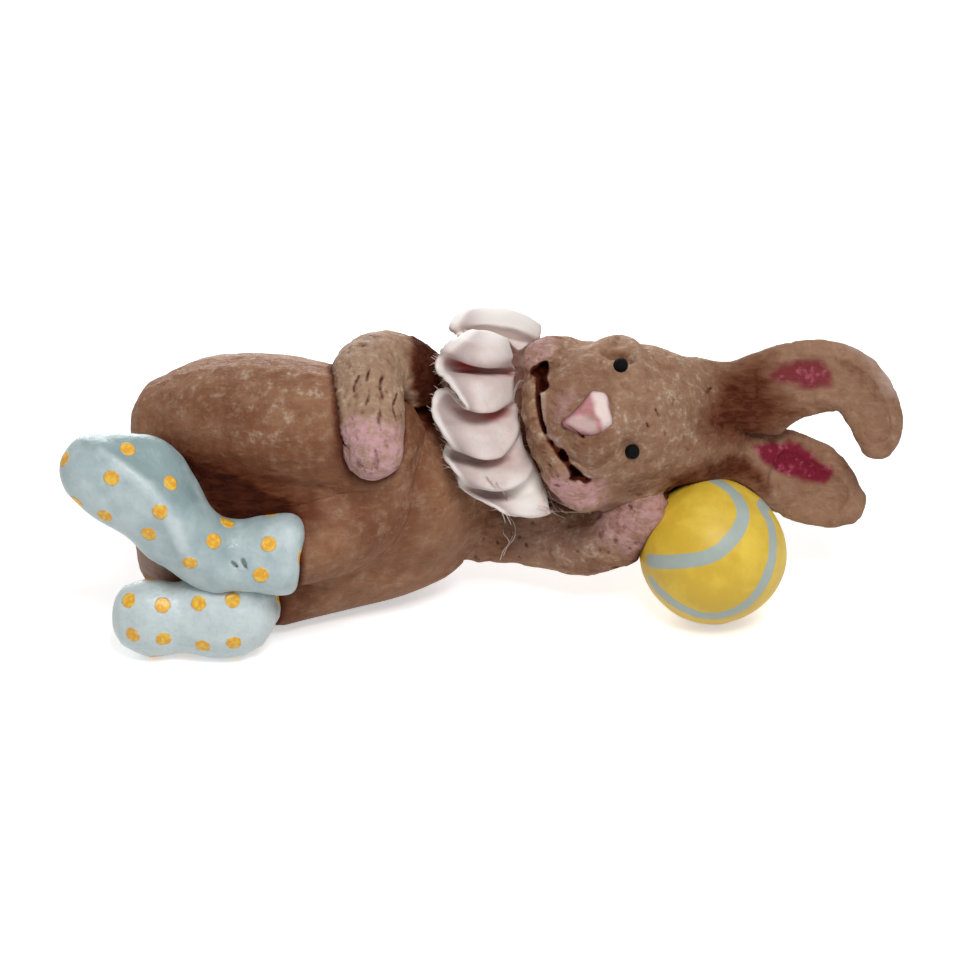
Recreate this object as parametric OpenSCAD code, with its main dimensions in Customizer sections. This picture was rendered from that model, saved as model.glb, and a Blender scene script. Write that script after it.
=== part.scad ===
// Sleeping rabbit figurine of painted paper pulp on a wire armature.
// The rabbit lies on its left side with its head at +X and faces -Y.
// The origin is the middle of the flat rest face under the torso.

/* [Torso] */
// Length of the torso from the rump to the neck
torso_l = 80; // [74:1:86]
// Thickness of the torso at the belly
torso_d = 48; // [45:1:51]
// Diameter of the neck
neck_d = 19; // [17:0.5:20]
// Length of the neck beyond the chest
neck_l = 11; // [9:0.5:13]
// Depth of the flat that the torso rests on
rest_flat_h = 0.6; // [0.4:0.1:1]
// Diameter of the tail
tail_d = 12; // [10:0.5:14]

/* [Legs and boots] */
// Length of the thigh from hip to knee
thigh_l = 50; // [46:1:53]
// Thickness of the right thigh
thigh_d = 28; // [26:0.5:30]
// Length of the right shin from knee to ankle
shin_l = 26; // [24:0.5:28]
// Thickness of the right shin at the knee
shin_d = 20; // [18.5:0.5:21]
// Length of the left leg, folded under the body
left_leg_l = 36; // [33:1:38]
// Thickness of the left leg
left_leg_d = 20; // [18.5:0.5:21]
// Length of the foot of a boot
boot_l = 38; // [35:0.5:41]
// Width of the foot of a boot
boot_w = 17.4; // [16:0.2:18.4]
// Width of the boot shaft at its cuff
cuff_w = 17.5; // [16.5:0.5:18.5]

/* [Arms] */
// Length of the right arm from shoulder to paw
right_arm_l = 42; // [39:1:45]
// Thickness of the right forearm
right_arm_d = 15.4; // [14:0.2:16.4]
// Length of the left arm from shoulder to paw
left_arm_l = 40; // [38:1:42]
// Thickness of the left forearm
left_arm_d = 12.6; // [11.5:0.5:13.5]

/* [Head] */
// Length of the head from chin to crown
head_l = 38; // [36:0.5:40]
// Width of the head across the cheeks
head_w = 34; // [32:0.5:36]
// Thickness of the head from face to back
head_t = 32; // [30:0.5:34]
// Width of the muzzle
muzzle_w = 23; // [21:0.5:25]
// Height that the muzzle stands proud of the face
muzzle_h = 3.4; // [2.6:0.2:4]
// Length of the nose along the face
nose_l = 9.5; // [8.5:0.5:10.5]
// Length of the chin band below the mouth
jaw_l = 31; // [29:0.5:33]
// Thickness of the chin band
jaw_d = 9; // [8:0.5:10]
// Diameter of an eye
eye_d = 3; // [2.6:0.1:3.4]
// Diameter of the shank behind an eye
eye_shank_d = 1.6; // [1.4:0.1:2]
// Length of the shank behind an eye
eye_shank_l = 5; // [4:0.5:7]
// Length of an ear
ear_l = 42; // [39:0.5:44]
// Width of an ear
ear_w = 15; // [14:0.5:16]
// Thickness of an ear
ear_t = 5; // [4.4:0.2:5.6]
// Depth of the hollow in an ear
ear_dish_h = 1.6; // [1.2:0.2:2]

/* [Ball] */
// Diameter of the ball
ball_d = 30; // [28:0.5:32]

/* [Neck ruffle] */
// Width of the gathered cloth strip
ruffle_w = 20; // [18:0.5:21]
// Thickness of the cloth
ruffle_t = 0.6; // [0.4:0.1:0.8]
// Rise of a middling fold over the gathering thread
fold_h = 9.5; // [8:0.5:10.5]
// Thickness of the gathering thread
thread_d = 0.6; // [0.5:0.1:0.8]

/* [Armature] */
// Thickness of the wire in the limbs, ears and tail
wire_d = 1.5; // [1.2:0.1:1.8]
// Thickness of the wire in the neck
neck_wire_d = 2.5; // [2:0.1:3]
// Depth that a wire reaches into each piece
wire_reach = 7; // [5:0.5:9]
// Depth that the neck wire reaches into each piece
neck_wire_reach = 12; // [10:0.5:14]

/* [Fit] */
// Thickness of the glue line between two pulp pieces
glue_gap = 0.15; // [0.1:0.05:0.3]
// Clearance of the cloth and its thread round the neck
cloth_gap = 0.35; // [0.3:0.05:0.5]
// Clearance round a wire in its hole
wire_gap = 0.05; // [0.03:0.01:0.1]

/* [Hidden] */

// Surplus by which a cut runs past the face that it opens
cut_over = 1;
// Degrees that the face leans back from straight up, towards -Y
face_lean = 62;
// Degrees that the head rolls its crown upward
head_roll = 9;
// Sides of a round section, by size of piece
body_sides = 24;
limb_sides = 18;
// Steps between two neighbouring rows of a table
fair_steps = 3;
// Facets of a wire and of a hole for one, of a small ball, and of the big one
wire_fn = 24;
bead_fn = 32;
ball_fn = 64;
// Pull that stands the rings of a thick piece square to X where its path turns
upright_pull = [2, 0, 0];
// Shares of a wire's reach where the piece round it is thin
thin_reach_share = 0.8;
slim_reach_share = 0.6;
// Colours
pulp_brown = [0.53, 0.39, 0.31];
boot_blue = [0.70, 0.78, 0.80];
blush_pink = [0.80, 0.52, 0.55];
eye_black = [0.05, 0.04, 0.04];
ball_yellow = [0.88, 0.75, 0.26];
cloth_pink = [0.90, 0.83, 0.81];
wire_grey = [0.62, 0.62, 0.60];

// Vector and table helpers
function unit(v) = v / norm(v);
function place3(r) = [r[0], r[1], r[2]];
function row(t, i) = t[min(max(i, 0), len(t) - 1)];
function times(v, w) = [for (i = [0 : len(v) - 1]) v[i] * w[i]];
// Point on the smooth curve through rows b and c, with a and d on either side
function between(a, b, c, d, t) =
    b + ((c - a) * t + (2 * a - 5 * b + 4 * c - d) * t * t + (3 * b - a - 3 * c + d) * t * t * t) / 2;
// A table with rows added on the smooth curve through its rows
function fair(t) = [
    for (i = [0 : len(t) - 2])
        for (k = [0 : fair_steps - 1])
            between(row(t, i - 1), t[i], t[i + 1], row(t, i + 2), k / fair_steps),
    t[len(t) - 1]
];
// Rows that close one end with a dome; way is -1 at the start and 1 at the end
function dome(r, axis, bulge, way, grow) = [
    for (turn = (way < 0 ? [60, 30] : [30, 60]))
        concat(
            place3(r) + axis * way * (bulge * min(r[3], r[4]) + grow) * sin(turn),
            [(r[3] + grow) * cos(turn), (r[4] + grow) * cos(turn)]
        )
];
function grown(t, grow) = [for (r = t) [r[0], r[1], r[2], r[3] + grow, r[4] + grow]];
function tip(r, axis, bulge, way, grow) = place3(r) + axis * way * (bulge * min(r[3], r[4]) + grow);
// One ring of a loft: an oval square to the path, with its short way along face
function ring(rows, i, face, sides, pull) =
    let (axis = unit(unit(place3(row(rows, i + 1)) - place3(row(rows, i - 1))) + pull),
         up = unit(face - axis * (face * axis)),
         side = cross(up, axis))
    [for (k = [0 : sides - 1])
        let (turn = 360 * k / sides)
        place3(rows[i]) + side * rows[i][3] * cos(turn) + up * rows[i][4] * sin(turn)];

// Skin through the rows [x, y, z, half width, half thickness], with a dome at each end
module loft(rows, face, sides, bulge_shares, grow, pull = [0, 0, 0]) {
    smooth = fair(rows);
    count = len(smooth);
    start_axis = unit(place3(smooth[1]) - place3(smooth[0]));
    end_axis = unit(place3(smooth[count - 1]) - place3(smooth[count - 2]));
    full = concat(
        dome(smooth[0], start_axis, bulge_shares[0], -1, grow),
        grown(smooth, grow),
        dome(smooth[count - 1], end_axis, bulge_shares[1], 1, grow)
    );
    rings = len(full);
    points = concat(
        [for (i = [0 : rings - 1]) each ring(full, i, face, sides, pull)],
        [tip(smooth[0], start_axis, bulge_shares[0], -1, grow)],
        [tip(smooth[count - 1], end_axis, bulge_shares[1], 1, grow)]
    );
    start_tip = rings * sides;
    end_tip = start_tip + 1;
    faces = concat(
        [for (i = [0 : rings - 2], k = [0 : sides - 1])
            [i * sides + k, (i + 1) * sides + k, (i + 1) * sides + (k + 1) % sides]],
        [for (i = [0 : rings - 2], k = [0 : sides - 1])
            [i * sides + k, (i + 1) * sides + (k + 1) % sides, i * sides + (k + 1) % sides]],
        [for (k = [0 : sides - 1]) [start_tip, k, (k + 1) % sides]],
        [for (k = [0 : sides - 1])
            [end_tip, (rings - 1) * sides + (k + 1) % sides, (rings - 1) * sides + k]]
    );
    polyhedron(points = points, faces = faces);
}

// Rows of a limb from its root, its length and its thickness
function limb(root, shares, l, d) = [
    for (s = shares) concat(root + l * place3(s), [s[3] * d, s[4] * d])
];

// Straight round bar from one point to another
module bar(from, to, d) {
    way = to - from;
    translate(from)
        rotate([0, acos(way[2] / norm(way)), atan2(way[1], way[0])])
            cylinder(h = norm(way), d = d, $fn = wire_fn);
}

// Bar through a seat between two pieces, reaching back and ahead along way
module seat_bar(at, way, grow, back, ahead, d = wire_d) {
    bar(at - unit(way) * (back + grow), at + unit(way) * (ahead + grow), d + 2 * grow);
}

// Torso and neck
// Place given in torso lengths and thicknesses, on a torso let down by its rest flat
function on_torso(share) = times(share, [torso_l, torso_d, torso_d]) - [0, 0, rest_flat_h];
// Rows: x in torso lengths, then y, z, half depth and half height in torso thicknesses
torso_shares = [
    [-0.425, -0.04, 0.462, 0.330, 0.360],
    [-0.375, -0.04, 0.474, 0.425, 0.430],
    [-0.300, -0.03, 0.490, 0.475, 0.480],
    [-0.150, -0.02, 0.504, 0.500, 0.504],
    [ 0.000,  0.00, 0.504, 0.495, 0.504],
    [ 0.170,  0.04, 0.510, 0.470, 0.470],
    [ 0.310,  0.06, 0.552, 0.440, 0.440],
    [ 0.375,  0.06, 0.592, 0.375, 0.375],
    [ 0.430,  0.05, 0.642, 0.290, 0.290]
];
torso_bulge_shares = [0.14, 0.4];
// Where the neck leaves the chest, the direction that it takes, and how it widens at its root
neck_root_share = [0.49, 0.03, 0.702];
neck_way_shares = [0.93, -0.10, 0.34];
neck_flare_share = 1.12;
neck_narrow_share = 0.4;
neck_way = unit(neck_way_shares);
neck_root = on_torso(neck_root_share);
neck_root_r = neck_d / 2 * neck_flare_share;
neck_end = neck_root + neck_way * neck_l;
torso_rows = concat(
    [for (s = torso_shares) concat(on_torso(place3(s)), [s[3] * torso_d, s[4] * torso_d])],
    [concat(neck_root, [neck_root_r, neck_root_r]),
     concat(neck_root + neck_way * neck_l * neck_narrow_share, [neck_d / 2, neck_d / 2]),
     concat(neck_end, [neck_d / 2, neck_d / 2])]
);
module torso_form(grow = 0) {
    loft(torso_rows, [0, 0, 1], body_sides, torso_bulge_shares, grow, upright_pull);
}

// Legs
// A hip lies in torso lengths and limb thicknesses: behind the middle, in from the belly, and up
right_hip_share = [-0.0325, 0.686, 0.857];
right_hip = [
    right_hip_share[0] * torso_l - thigh_l / 2,
    right_hip_share[1] * thigh_d - torso_d / 2,
    right_hip_share[2] * torso_d - rest_flat_h
];
thigh_shares = [
    [0.00,  0.00,  0.000, 0.375, 0.375],
    [0.14, -0.04,  0.024, 0.470, 0.470],
    [0.35, -0.10,  0.060, 0.505, 0.505],
    [0.58, -0.14,  0.050, 0.495, 0.495],
    [0.75, -0.15,  0.010, 0.455, 0.455],
    [0.85, -0.15, -0.060, 0.390, 0.390]
];
thigh_bulge_shares = [0.8, 0.6];
knee_share = [0.83, -0.14, -0.110];
right_knee = right_hip + thigh_l * knee_share;
shin_shares = [
    [ 0.00,  0.00,  0.000, 0.440, 0.440],
    [-0.08, -0.14, -0.230, 0.490, 0.490],
    [-0.30, -0.32, -0.410, 0.440, 0.440],
    [-0.62, -0.48, -0.500, 0.385, 0.385]
];
shin_bulge_shares = [0.8, 0.5];
left_hip_share = [0.29, 1.152, 0.302];
left_hip = [
    left_hip_share[0] * torso_l,
    left_hip_share[1] * left_leg_d - torso_d / 2,
    left_hip_share[2] * torso_d - rest_flat_h
];
left_leg_shares = [
    [ 0.00,  0.00,  0.000, 0.500, 0.500],
    [-0.22, -0.11, -0.040, 0.515, 0.515],
    [-0.46, -0.22, -0.080, 0.475, 0.475],
    [-0.68, -0.34, -0.110, 0.440, 0.440],
    [-0.86, -0.46, -0.135, 0.400, 0.400]
];
thigh_rows = limb(right_hip, thigh_shares, thigh_l, thigh_d);
shin_rows = limb(right_knee, shin_shares, shin_l, shin_d);
left_leg_rows = limb(left_hip, left_leg_shares, left_leg_l, left_leg_d);
module right_thigh_form(grow = 0) {
    loft(thigh_rows, [0, 0, 1], limb_sides, thigh_bulge_shares, grow);
}
module right_shin_form(grow = 0) {
    loft(shin_rows, [0, -1, 0], limb_sides, shin_bulge_shares, grow);
}
module left_leg_form(grow = 0) {
    loft(left_leg_rows, [0, 0, 1], limb_sides, shin_bulge_shares, grow);
}

// Boots
// Rows: from the heel in boot lengths, half width and half height in boot widths
right_heel_share = [-0.42, -0.09, 0.02];
right_heel = place3(shin_rows[3]) + boot_l * right_heel_share;
right_foot_shares = [
    [ 0.060,  0.000, -0.040, 0.440, 0.400],
    [-0.100, -0.020,  0.080, 0.450, 0.390],
    [-0.260, -0.030,  0.260, 0.410, 0.350],
    [-0.420, -0.010,  0.390, 0.430, 0.360],
    [-0.560,  0.030,  0.460, 0.450, 0.380],
    [-0.660,  0.060,  0.490, 0.400, 0.350]
];
right_shaft_shares = [
    [0.000,  0.000,  0.010, 0.420, 0.400],
    [0.180,  0.010,  0.000, 0.420, 0.410],
    [0.330,  0.020, -0.005, 0.480, 0.470],
    [0.420,  0.025, -0.010, 0.500, 0.490]
];
right_foot_face_shares = [-0.3, -1, 0.1];
right_foot_rows = limb(right_heel, right_foot_shares, boot_l, boot_w);
right_shaft_rows = limb(right_heel, right_shaft_shares, boot_l, cuff_w);
left_heel_share = [-0.12, -0.29, 0];
left_heel = [left_leg_rows[4][0], left_leg_rows[4][1], boot_w / 2] + boot_l * left_heel_share;
foot_bulge_shares = [0.7, 0.8];
shaft_bulge_shares = [0.7, 0.15];
left_foot_shares = [
    [ 0.040,  0.000,  0.000, 0.420, 0.340],
    [-0.020,  0.000,  0.000, 0.490, 0.400],
    [-0.180,  0.000,  0.000, 0.490, 0.390],
    [-0.340,  0.000,  0.000, 0.430, 0.340],
    [-0.500,  0.000,  0.000, 0.480, 0.380],
    [-0.590,  0.010,  0.000, 0.430, 0.330]
];
left_shaft_shares = [
    [-0.020, 0.000, 0.000, 0.400, 0.400],
    [ 0.010, 0.190, 0.005, 0.420, 0.420],
    [ 0.080, 0.320, 0.020, 0.450, 0.450]
];
left_foot_rows = limb(left_heel, left_foot_shares, boot_l, boot_w);
left_shaft_rows = limb(left_heel, left_shaft_shares, boot_l, cuff_w);
module right_boot_form(grow = 0) {
    loft(right_foot_rows, right_foot_face_shares, limb_sides, foot_bulge_shares, grow);
    loft(right_shaft_rows, [0, -1, 0], limb_sides, shaft_bulge_shares, grow);
}
module left_boot_form(grow = 0) {
    loft(left_foot_rows, [0, -1, 0], limb_sides, foot_bulge_shares, grow);
    loft(left_shaft_rows, [0, 0, 1], limb_sides, shaft_bulge_shares, grow);
}

// Arms
right_shoulder_share = [0.30, 0.02, 0.997];
right_shoulder = on_torso(right_shoulder_share);
right_arm_shares = [
    [ 0.000,  0.00,  0.000, 0.440, 0.440],
    [-0.120, -0.06,  0.110, 0.455, 0.455],
    [-0.225, -0.13,  0.150, 0.475, 0.475],
    [-0.275, -0.24,  0.145, 0.490, 0.490],
    [-0.280, -0.36,  0.095, 0.500, 0.500],
    [-0.262, -0.49,  0.010, 0.495, 0.480],
    [-0.240, -0.60, -0.090, 0.430, 0.400]
];
left_shoulder_share = [0.455, 0.02, 0.287];
left_shoulder = on_torso(left_shoulder_share);
arm_bulge_shares = [0.6, 0.8];
left_arm_shares = [
    [0.00,  0.000,  0.000, 0.560, 0.560],
    [0.15, -0.030, -0.020, 0.480, 0.480],
    [0.33, -0.100, -0.030, 0.430, 0.430],
    [0.50, -0.180, -0.010, 0.470, 0.470],
    [0.65, -0.250,  0.070, 0.500, 0.490],
    [0.77, -0.310,  0.190, 0.480, 0.460],
    [0.84, -0.340,  0.300, 0.390, 0.370]
];
right_arm_rows = limb(right_shoulder, right_arm_shares, right_arm_l, right_arm_d);
left_arm_rows = limb(left_shoulder, left_arm_shares, left_arm_l, left_arm_d);
module right_arm_form(grow = 0) {
    loft(right_arm_rows, [1, 0, 0], limb_sides, arm_bulge_shares, grow);
}
module left_arm_form(grow = 0) {
    loft(left_arm_rows, [0, -1, 0], limb_sides, arm_bulge_shares, grow);
}

// Head, worked out in its own frame: X to the crown, Y across the face, Z out of the face
head_at_share = [0.345, -0.09, 0.14];
head_at = neck_end + head_at_share * head_l;
module on_head() {
    translate(head_at)
        rotate([face_lean, 0, 0])
            rotate([0, 0, head_roll])
                children();
}
// Rows: x in head lengths, y and half width in head widths, z and half thickness in head thicknesses
head_shares = [
    [-0.380,  0.010,  0.00, 0.300, 0.300],
    [-0.330, -0.010,  0.00, 0.430, 0.425],
    [-0.240, -0.038,  0.00, 0.505, 0.480],
    [-0.130, -0.041,  0.00, 0.503, 0.500],
    [ 0.000, -0.041,  0.00, 0.485, 0.500],
    [ 0.130, -0.050, -0.01, 0.467, 0.475],
    [ 0.260, -0.065, -0.03, 0.432, 0.420],
    [ 0.380, -0.105, -0.06, 0.385, 0.335],
    [ 0.480, -0.135, -0.09, 0.330, 0.250],
    [ 0.560, -0.150, -0.11, 0.240, 0.170]
];
head_bulge_shares = [0.3, 0.8];
head_rows = [
    for (s = head_shares)
        [s[0] * head_l, s[1] * head_w, s[2] * head_t, s[3] * head_w, s[4] * head_t]
];
module head_form(grow = 0) {
    on_head() loft(head_rows, [0, 0, 1], body_sides, head_bulge_shares, grow, upright_pull);
}
// Depth of the face above the middle plane of the head at one row
face_h = head_shares[3][4] * head_t;

// Muzzle, nose and chin band on the face
muzzle_at_share = [-0.19, 0.02];
muzzle_sunk_share = 0.25;
muzzle_at = [
    muzzle_at_share[0] * head_l, muzzle_at_share[1] * head_w, face_h - muzzle_w * muzzle_sunk_share
];
muzzle_top = muzzle_h + muzzle_w * muzzle_sunk_share;
muzzle_shares = [
    [-0.165, -0.01, 0.400, 0.80],
    [-0.060,  0.00, 0.470, 0.94],
    [ 0.080,  0.00, 0.500, 1.00],
    [ 0.220,  0.00, 0.420, 0.90],
    [ 0.330,  0.00, 0.280, 0.66]
];
muzzle_bulge_shares = [0.6, 0.6];
muzzle_rows = [
    for (s = muzzle_shares)
        [muzzle_at[0] + s[0] * muzzle_w, muzzle_at[1] + s[1] * muzzle_w, muzzle_at[2],
         s[2] * muzzle_w, s[3] * muzzle_top]
];
module muzzle_form(grow = 0) {
    on_head() loft(muzzle_rows, [0, 0, 1], limb_sides, muzzle_bulge_shares, grow);
}
nose_at_share = 0.08;
nose_sunk_share = 0.12;
nose_at = muzzle_at + [muzzle_w * nose_at_share, 0, muzzle_top * (1 - nose_sunk_share)];
nose_shares = [
    [-0.50, -0.18, 0.26, 0.20],
    [-0.25, -0.08, 0.44, 0.30],
    [ 0.05,  0.00, 0.50, 0.34],
    [ 0.32,  0.02, 0.40, 0.30]
];
nose_bulge_shares = [0.6, 0.7];
nose_rows = [
    for (s = nose_shares)
        [nose_at[0] + s[0] * nose_l, nose_at[1] + s[1] * nose_l, nose_at[2], s[2] * nose_l, s[3] * nose_l]
];
module nose_form(grow = 0) {
    on_head() loft(nose_rows, [0, 0, 1], limb_sides, nose_bulge_shares, grow);
}
jaw_at_share = [-0.365, -0.03, 0.30];
jaw_at = times(jaw_at_share, [head_l, head_w, head_t]);
jaw_shares = [
    [ 0.060,  0.430, -0.06, 0.340, 0.340],
    [ 0.000,  0.230,  0.00, 0.440, 0.450],
    [-0.015,  0.000,  0.02, 0.480, 0.500],
    [ 0.030, -0.200,  0.00, 0.500, 0.500],
    [ 0.100, -0.370, -0.05, 0.460, 0.460],
    [ 0.180, -0.480, -0.11, 0.370, 0.370]
];
jaw_bulge_shares = [0.7, 0.7];
jaw_rows = limb(jaw_at, jaw_shares, jaw_l, jaw_d);
module jaw_form(grow = 0) {
    on_head() loft(jaw_rows, [0, 0, 1], limb_sides, jaw_bulge_shares, grow);
}

// Eyes: a bead on a shank, pressed into the face
// Shares: x in head lengths, y in head widths, height of the bead's middle in face heights
right_eye_share = [0.066, 0.271, 0.80];
left_eye_share = [0.053, -0.247, 0.88];
function eye_at(share) = [share[0] * head_l, share[1] * head_w, share[2] * face_h];
module eye_form(share, grow = 0) {
    on_head() translate(eye_at(share)) {
        sphere(d = eye_d + 2 * grow, $fn = bead_fn);
        translate([0, 0, -eye_shank_l - grow])
            cylinder(h = eye_shank_l + grow, d = eye_shank_d + 2 * grow, $fn = wire_fn);
    }
}

// Ears, in the frame of the head
right_ear_root_share = [0.47, 0.045, -0.09];
right_ear_root = times(right_ear_root_share, [head_l, head_w, head_t]);
right_ear_shares = [
    [0.000,  0.000, 0.00, 0.385, 0.640],
    [0.171, -0.017, 0.00, 0.415, 0.580],
    [0.305, -0.021, 0.00, 0.490, 0.520],
    [0.455, -0.017, 0.00, 0.540, 0.500],
    [0.617, -0.014, 0.01, 0.520, 0.500],
    [0.765, -0.090, 0.03, 0.440, 0.500],
    [0.828, -0.240, 0.05, 0.400, 0.500],
    [0.824, -0.345, 0.07, 0.340, 0.480],
    [0.808, -0.410, 0.08, 0.230, 0.420]
];
left_ear_root_share = [0.40, -0.31, -0.13];
left_ear_root = times(left_ear_root_share, [head_l, head_w, head_t]);
left_ear_shares = [
    [0.000,  0.000,  0.00, 0.385, 0.640],
    [0.231, -0.076, -0.06, 0.490, 0.540],
    [0.398, -0.143, -0.12, 0.567, 0.500],
    [0.560, -0.248, -0.17, 0.580, 0.500],
    [0.683, -0.348, -0.20, 0.430, 0.470],
    [0.750, -0.392, -0.21, 0.260, 0.420]
];
ear_bulge_shares = [0.7, 1];
function ear_rows(root, shares) = [
    for (s = shares) concat(root + ear_l * place3(s), [s[3] * ear_w, s[4] * ear_t])
];
// The hollow: the ear's own rows from one row on, made narrower and lifted so that they cut in by its depth
dish_w_share = 0.62;
function dish_rows(rows, first) = [
    for (i = [first : len(rows) - 2])
        let (r = rows[i])
        [r[0], r[1], r[2] + 2 * r[4] - ear_dish_h, r[3] * dish_w_share, r[4]]
];
dish_bulge_shares = [0.6, 0.6];
module ear_dish(rows, first) {
    on_head() loft(dish_rows(rows, first), [0, 0, 1], limb_sides, dish_bulge_shares, 0);
}
module right_ear_form(grow = 0) {
    rows = ear_rows(right_ear_root, right_ear_shares);
    on_head() loft(rows, [0, 0, 1], limb_sides, ear_bulge_shares, grow);
}
module left_ear_form(grow = 0) {
    rows = ear_rows(left_ear_root, left_ear_shares);
    on_head() loft(rows, [0, 0, 1], limb_sides, ear_bulge_shares, grow);
}

// Ball under the hand, touching the head: its turn from the head to the front, and the head's reach to it
ball_turn = 24;
ball_touch_share = 0.526;
ball_away = head_l * ball_touch_share + ball_d / 2;
ball_drop = head_at[2] - ball_d / 2;
ball_off = sqrt(max(0, ball_away * ball_away - ball_drop * ball_drop));
ball_at = [head_at[0] + ball_off * cos(ball_turn), head_at[1] - ball_off * sin(ball_turn), ball_d / 2];
module ball_form(grow = 0) {
    translate(ball_at) sphere(d = ball_d + 2 * grow, $fn = ball_fn);
}

// Tail low on the back of the rump
tail_at_share = [-0.36, 0.46, 0.532];
tail_at = on_torso(tail_at_share);
tail_shares = [
    [0.00, -0.30, 0.00, 0.42, 0.42],
    [0.00,  0.00, 0.03, 0.50, 0.50],
    [0.00,  0.26, 0.08, 0.40, 0.40]
];
tail_bulge_shares = [0.6, 0.6];
tail_rows = limb(tail_at, tail_shares, tail_d, tail_d);
module tail_form(grow = 0) {
    loft(tail_rows, [0, 0, 1], limb_sides, tail_bulge_shares, grow);
}

// Wires of the armature, each through the seat between two pieces
module neck_wire_form(grow = 0) {
    seat_bar(neck_end, neck_way, grow, neck_wire_reach, neck_wire_reach, neck_wire_d);
}
hip_seat_share = [0.245, -0.090, 0.106];
hip_way_shares = [0.1, -0.2, 1];
knee_seat_share = [-0.775, -0.485, -0.125];
knee_way_shares = [0, -0.75, -0.66];
right_shoulder_seat_share = [-0.034, -0.005, -0.014];
right_shoulder_way_shares = [-0.3, -0.1, 1];
left_shoulder_seat_share = [-0.012, 0.002, 0.052];
left_shoulder_way_shares = [1, -0.2, -0.3];
module limb_wires_form(grow = 0) {
    seat_bar(right_hip + thigh_l * hip_seat_share, hip_way_shares, grow, wire_reach, wire_reach);
    seat_bar(left_hip + left_leg_l * knee_seat_share, knee_way_shares, grow,
             wire_reach, wire_reach * slim_reach_share);
    seat_bar(right_shoulder + right_arm_l * right_shoulder_seat_share, right_shoulder_way_shares, grow,
             wire_reach, wire_reach * thin_reach_share);
    seat_bar(left_shoulder + left_arm_l * left_shoulder_seat_share, left_shoulder_way_shares, grow,
             wire_reach, wire_reach * thin_reach_share);
}
module ankle_wires_form(grow = 0) {
    right_ankle = place3(shin_rows[3]);
    left_ankle = place3(left_leg_rows[4]);
    reach = wire_reach * thin_reach_share;
    seat_bar(right_ankle, right_ankle - place3(shin_rows[2]), grow, reach, reach);
    seat_bar(left_ankle, left_ankle - place3(left_leg_rows[3]), grow, reach, reach);
}
right_ear_seat_share = [0.12, 0, 0];
left_ear_seat_share = [0.12, -0.035, -0.03];
left_ear_way_shares = [1, -0.3, -0.25];
module ear_wires_form(grow = 0) {
    on_head() {
        seat_bar(right_ear_root + ear_l * right_ear_seat_share, [1, 0, 0], grow, wire_reach, wire_reach);
        seat_bar(left_ear_root + ear_l * left_ear_seat_share, left_ear_way_shares, grow,
                 wire_reach, wire_reach);
    }
}
tail_seat_share = 0.22;
module tail_wire_form(grow = 0) {
    reach = wire_reach * slim_reach_share;
    seat_bar(tail_at - [0, tail_d * tail_seat_share, 0], [0, 1, 0], grow, reach, reach);
}
paw_at = place3(left_arm_rows[5]);
module ball_wire_form(grow = 0) {
    reach = wire_reach * slim_reach_share;
    seat_bar(ball_at + unit(paw_at - ball_at) * ball_d / 2, paw_at - ball_at, grow, reach, reach);
}

// Ruffle: a strip of cloth in loops round the neck, gathered along its middle
ruffle_at_share = 0.45;
ruffle_at = neck_root + neck_way * neck_l * ruffle_at_share;
ruffle_way_shares = [0.97, -0.20, 0.10];
ruffle_way = unit(ruffle_way_shares);
ruffle_front = unit(cross(ruffle_way, [0, 0, 1]));
ruffle_up = cross(ruffle_front, ruffle_way);
// Rows across the strip
strip_rows = 5;
thread_r = neck_root_r + cloth_gap + thread_d / 2;
ruffle_in_r = thread_r + thread_d / 2 + cloth_gap + ruffle_t / 2;
// The bends of the strip in turn, along its chest edge, its middle and its head edge. Each row gives
// degrees round the neck, up from the front, then the rise in folds and the place along the neck in widths
ruffle_edge_shares = [
    [107, 1.39, -0.56], [93, 1.31, -0.65], [92, 1.14, -0.59], [86, 1.14, -0.49],
    [82, 1.44, -0.38], [71, 1.69, -0.45], [67, 1.67, -0.57], [66, 1.39, -0.65],
    [61, 1.24, -0.66], [53, 1.33, -0.53], [42, 1.27, -0.32], [44, 1.00, -0.40],
    [55, 0.89, -0.60], [47, 0.80, -0.73], [33, 1.01, -0.64], [24, 0.96, -0.52],
    [22, 0.70, -0.55], [21, 0.50, -0.60], [15, 0.57, -0.62], [11, 0.90, -0.53],
    [6, 1.00, -0.43], [2, 0.82, -0.45], [-1, 0.63, -0.48], [-7, 0.71, -0.45],
    [-11, 0.96, -0.23], [-16, 1.10, 0.03], [-33, 0.63, 0.07], [-72, 0.39, -0.07],
    [-96, 0.07, -0.15], [-118, 0.39, -0.20], [-140, 0.12, -0.30], [-163, 0.70, -0.30],
    [-187, 0.28, -0.40], [-206, 1.02, -0.45], [-230, 0.60, -0.50]
];
ruffle_middle_shares = [
    [109, 1.43, -0.11], [93, 1.33, -0.11], [102, 0.97, -0.17], [93, 0.90, -0.14],
    [80, 1.40, -0.08], [65, 1.55, -0.07], [61, 1.37, -0.20], [72, 0.93, -0.34],
    [70, 0.70, -0.36], [55, 1.21, -0.20], [40, 1.14, -0.11], [43, 0.76, -0.18],
    [49, 0.45, -0.35], [44, 0.41, -0.43], [31, 0.80, -0.25], [16, 1.03, -0.07],
    [15, 0.72, -0.11], [14, 0.39, -0.23], [8, 0.43, -0.28], [7, 0.83, -0.20],
    [0, 1.15, 0.01], [-5, 0.91, -0.03], [-10, 0.64, -0.07], [-15, 0.68, -0.03],
    [-15, 0.87, 0.11], [-20, 1.03, 0.26], [-38, 0.54, 0.24], [-76, 0.44, 0.10],
    [-98, 0.05, 0.05], [-120, 0.49, 0.00], [-142, 0.05, 0.00], [-165, 0.81, 0.00],
    [-188, 0.07, -0.05], [-209, 1.07, -0.05], [-232, 0.28, -0.10]
];
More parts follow.
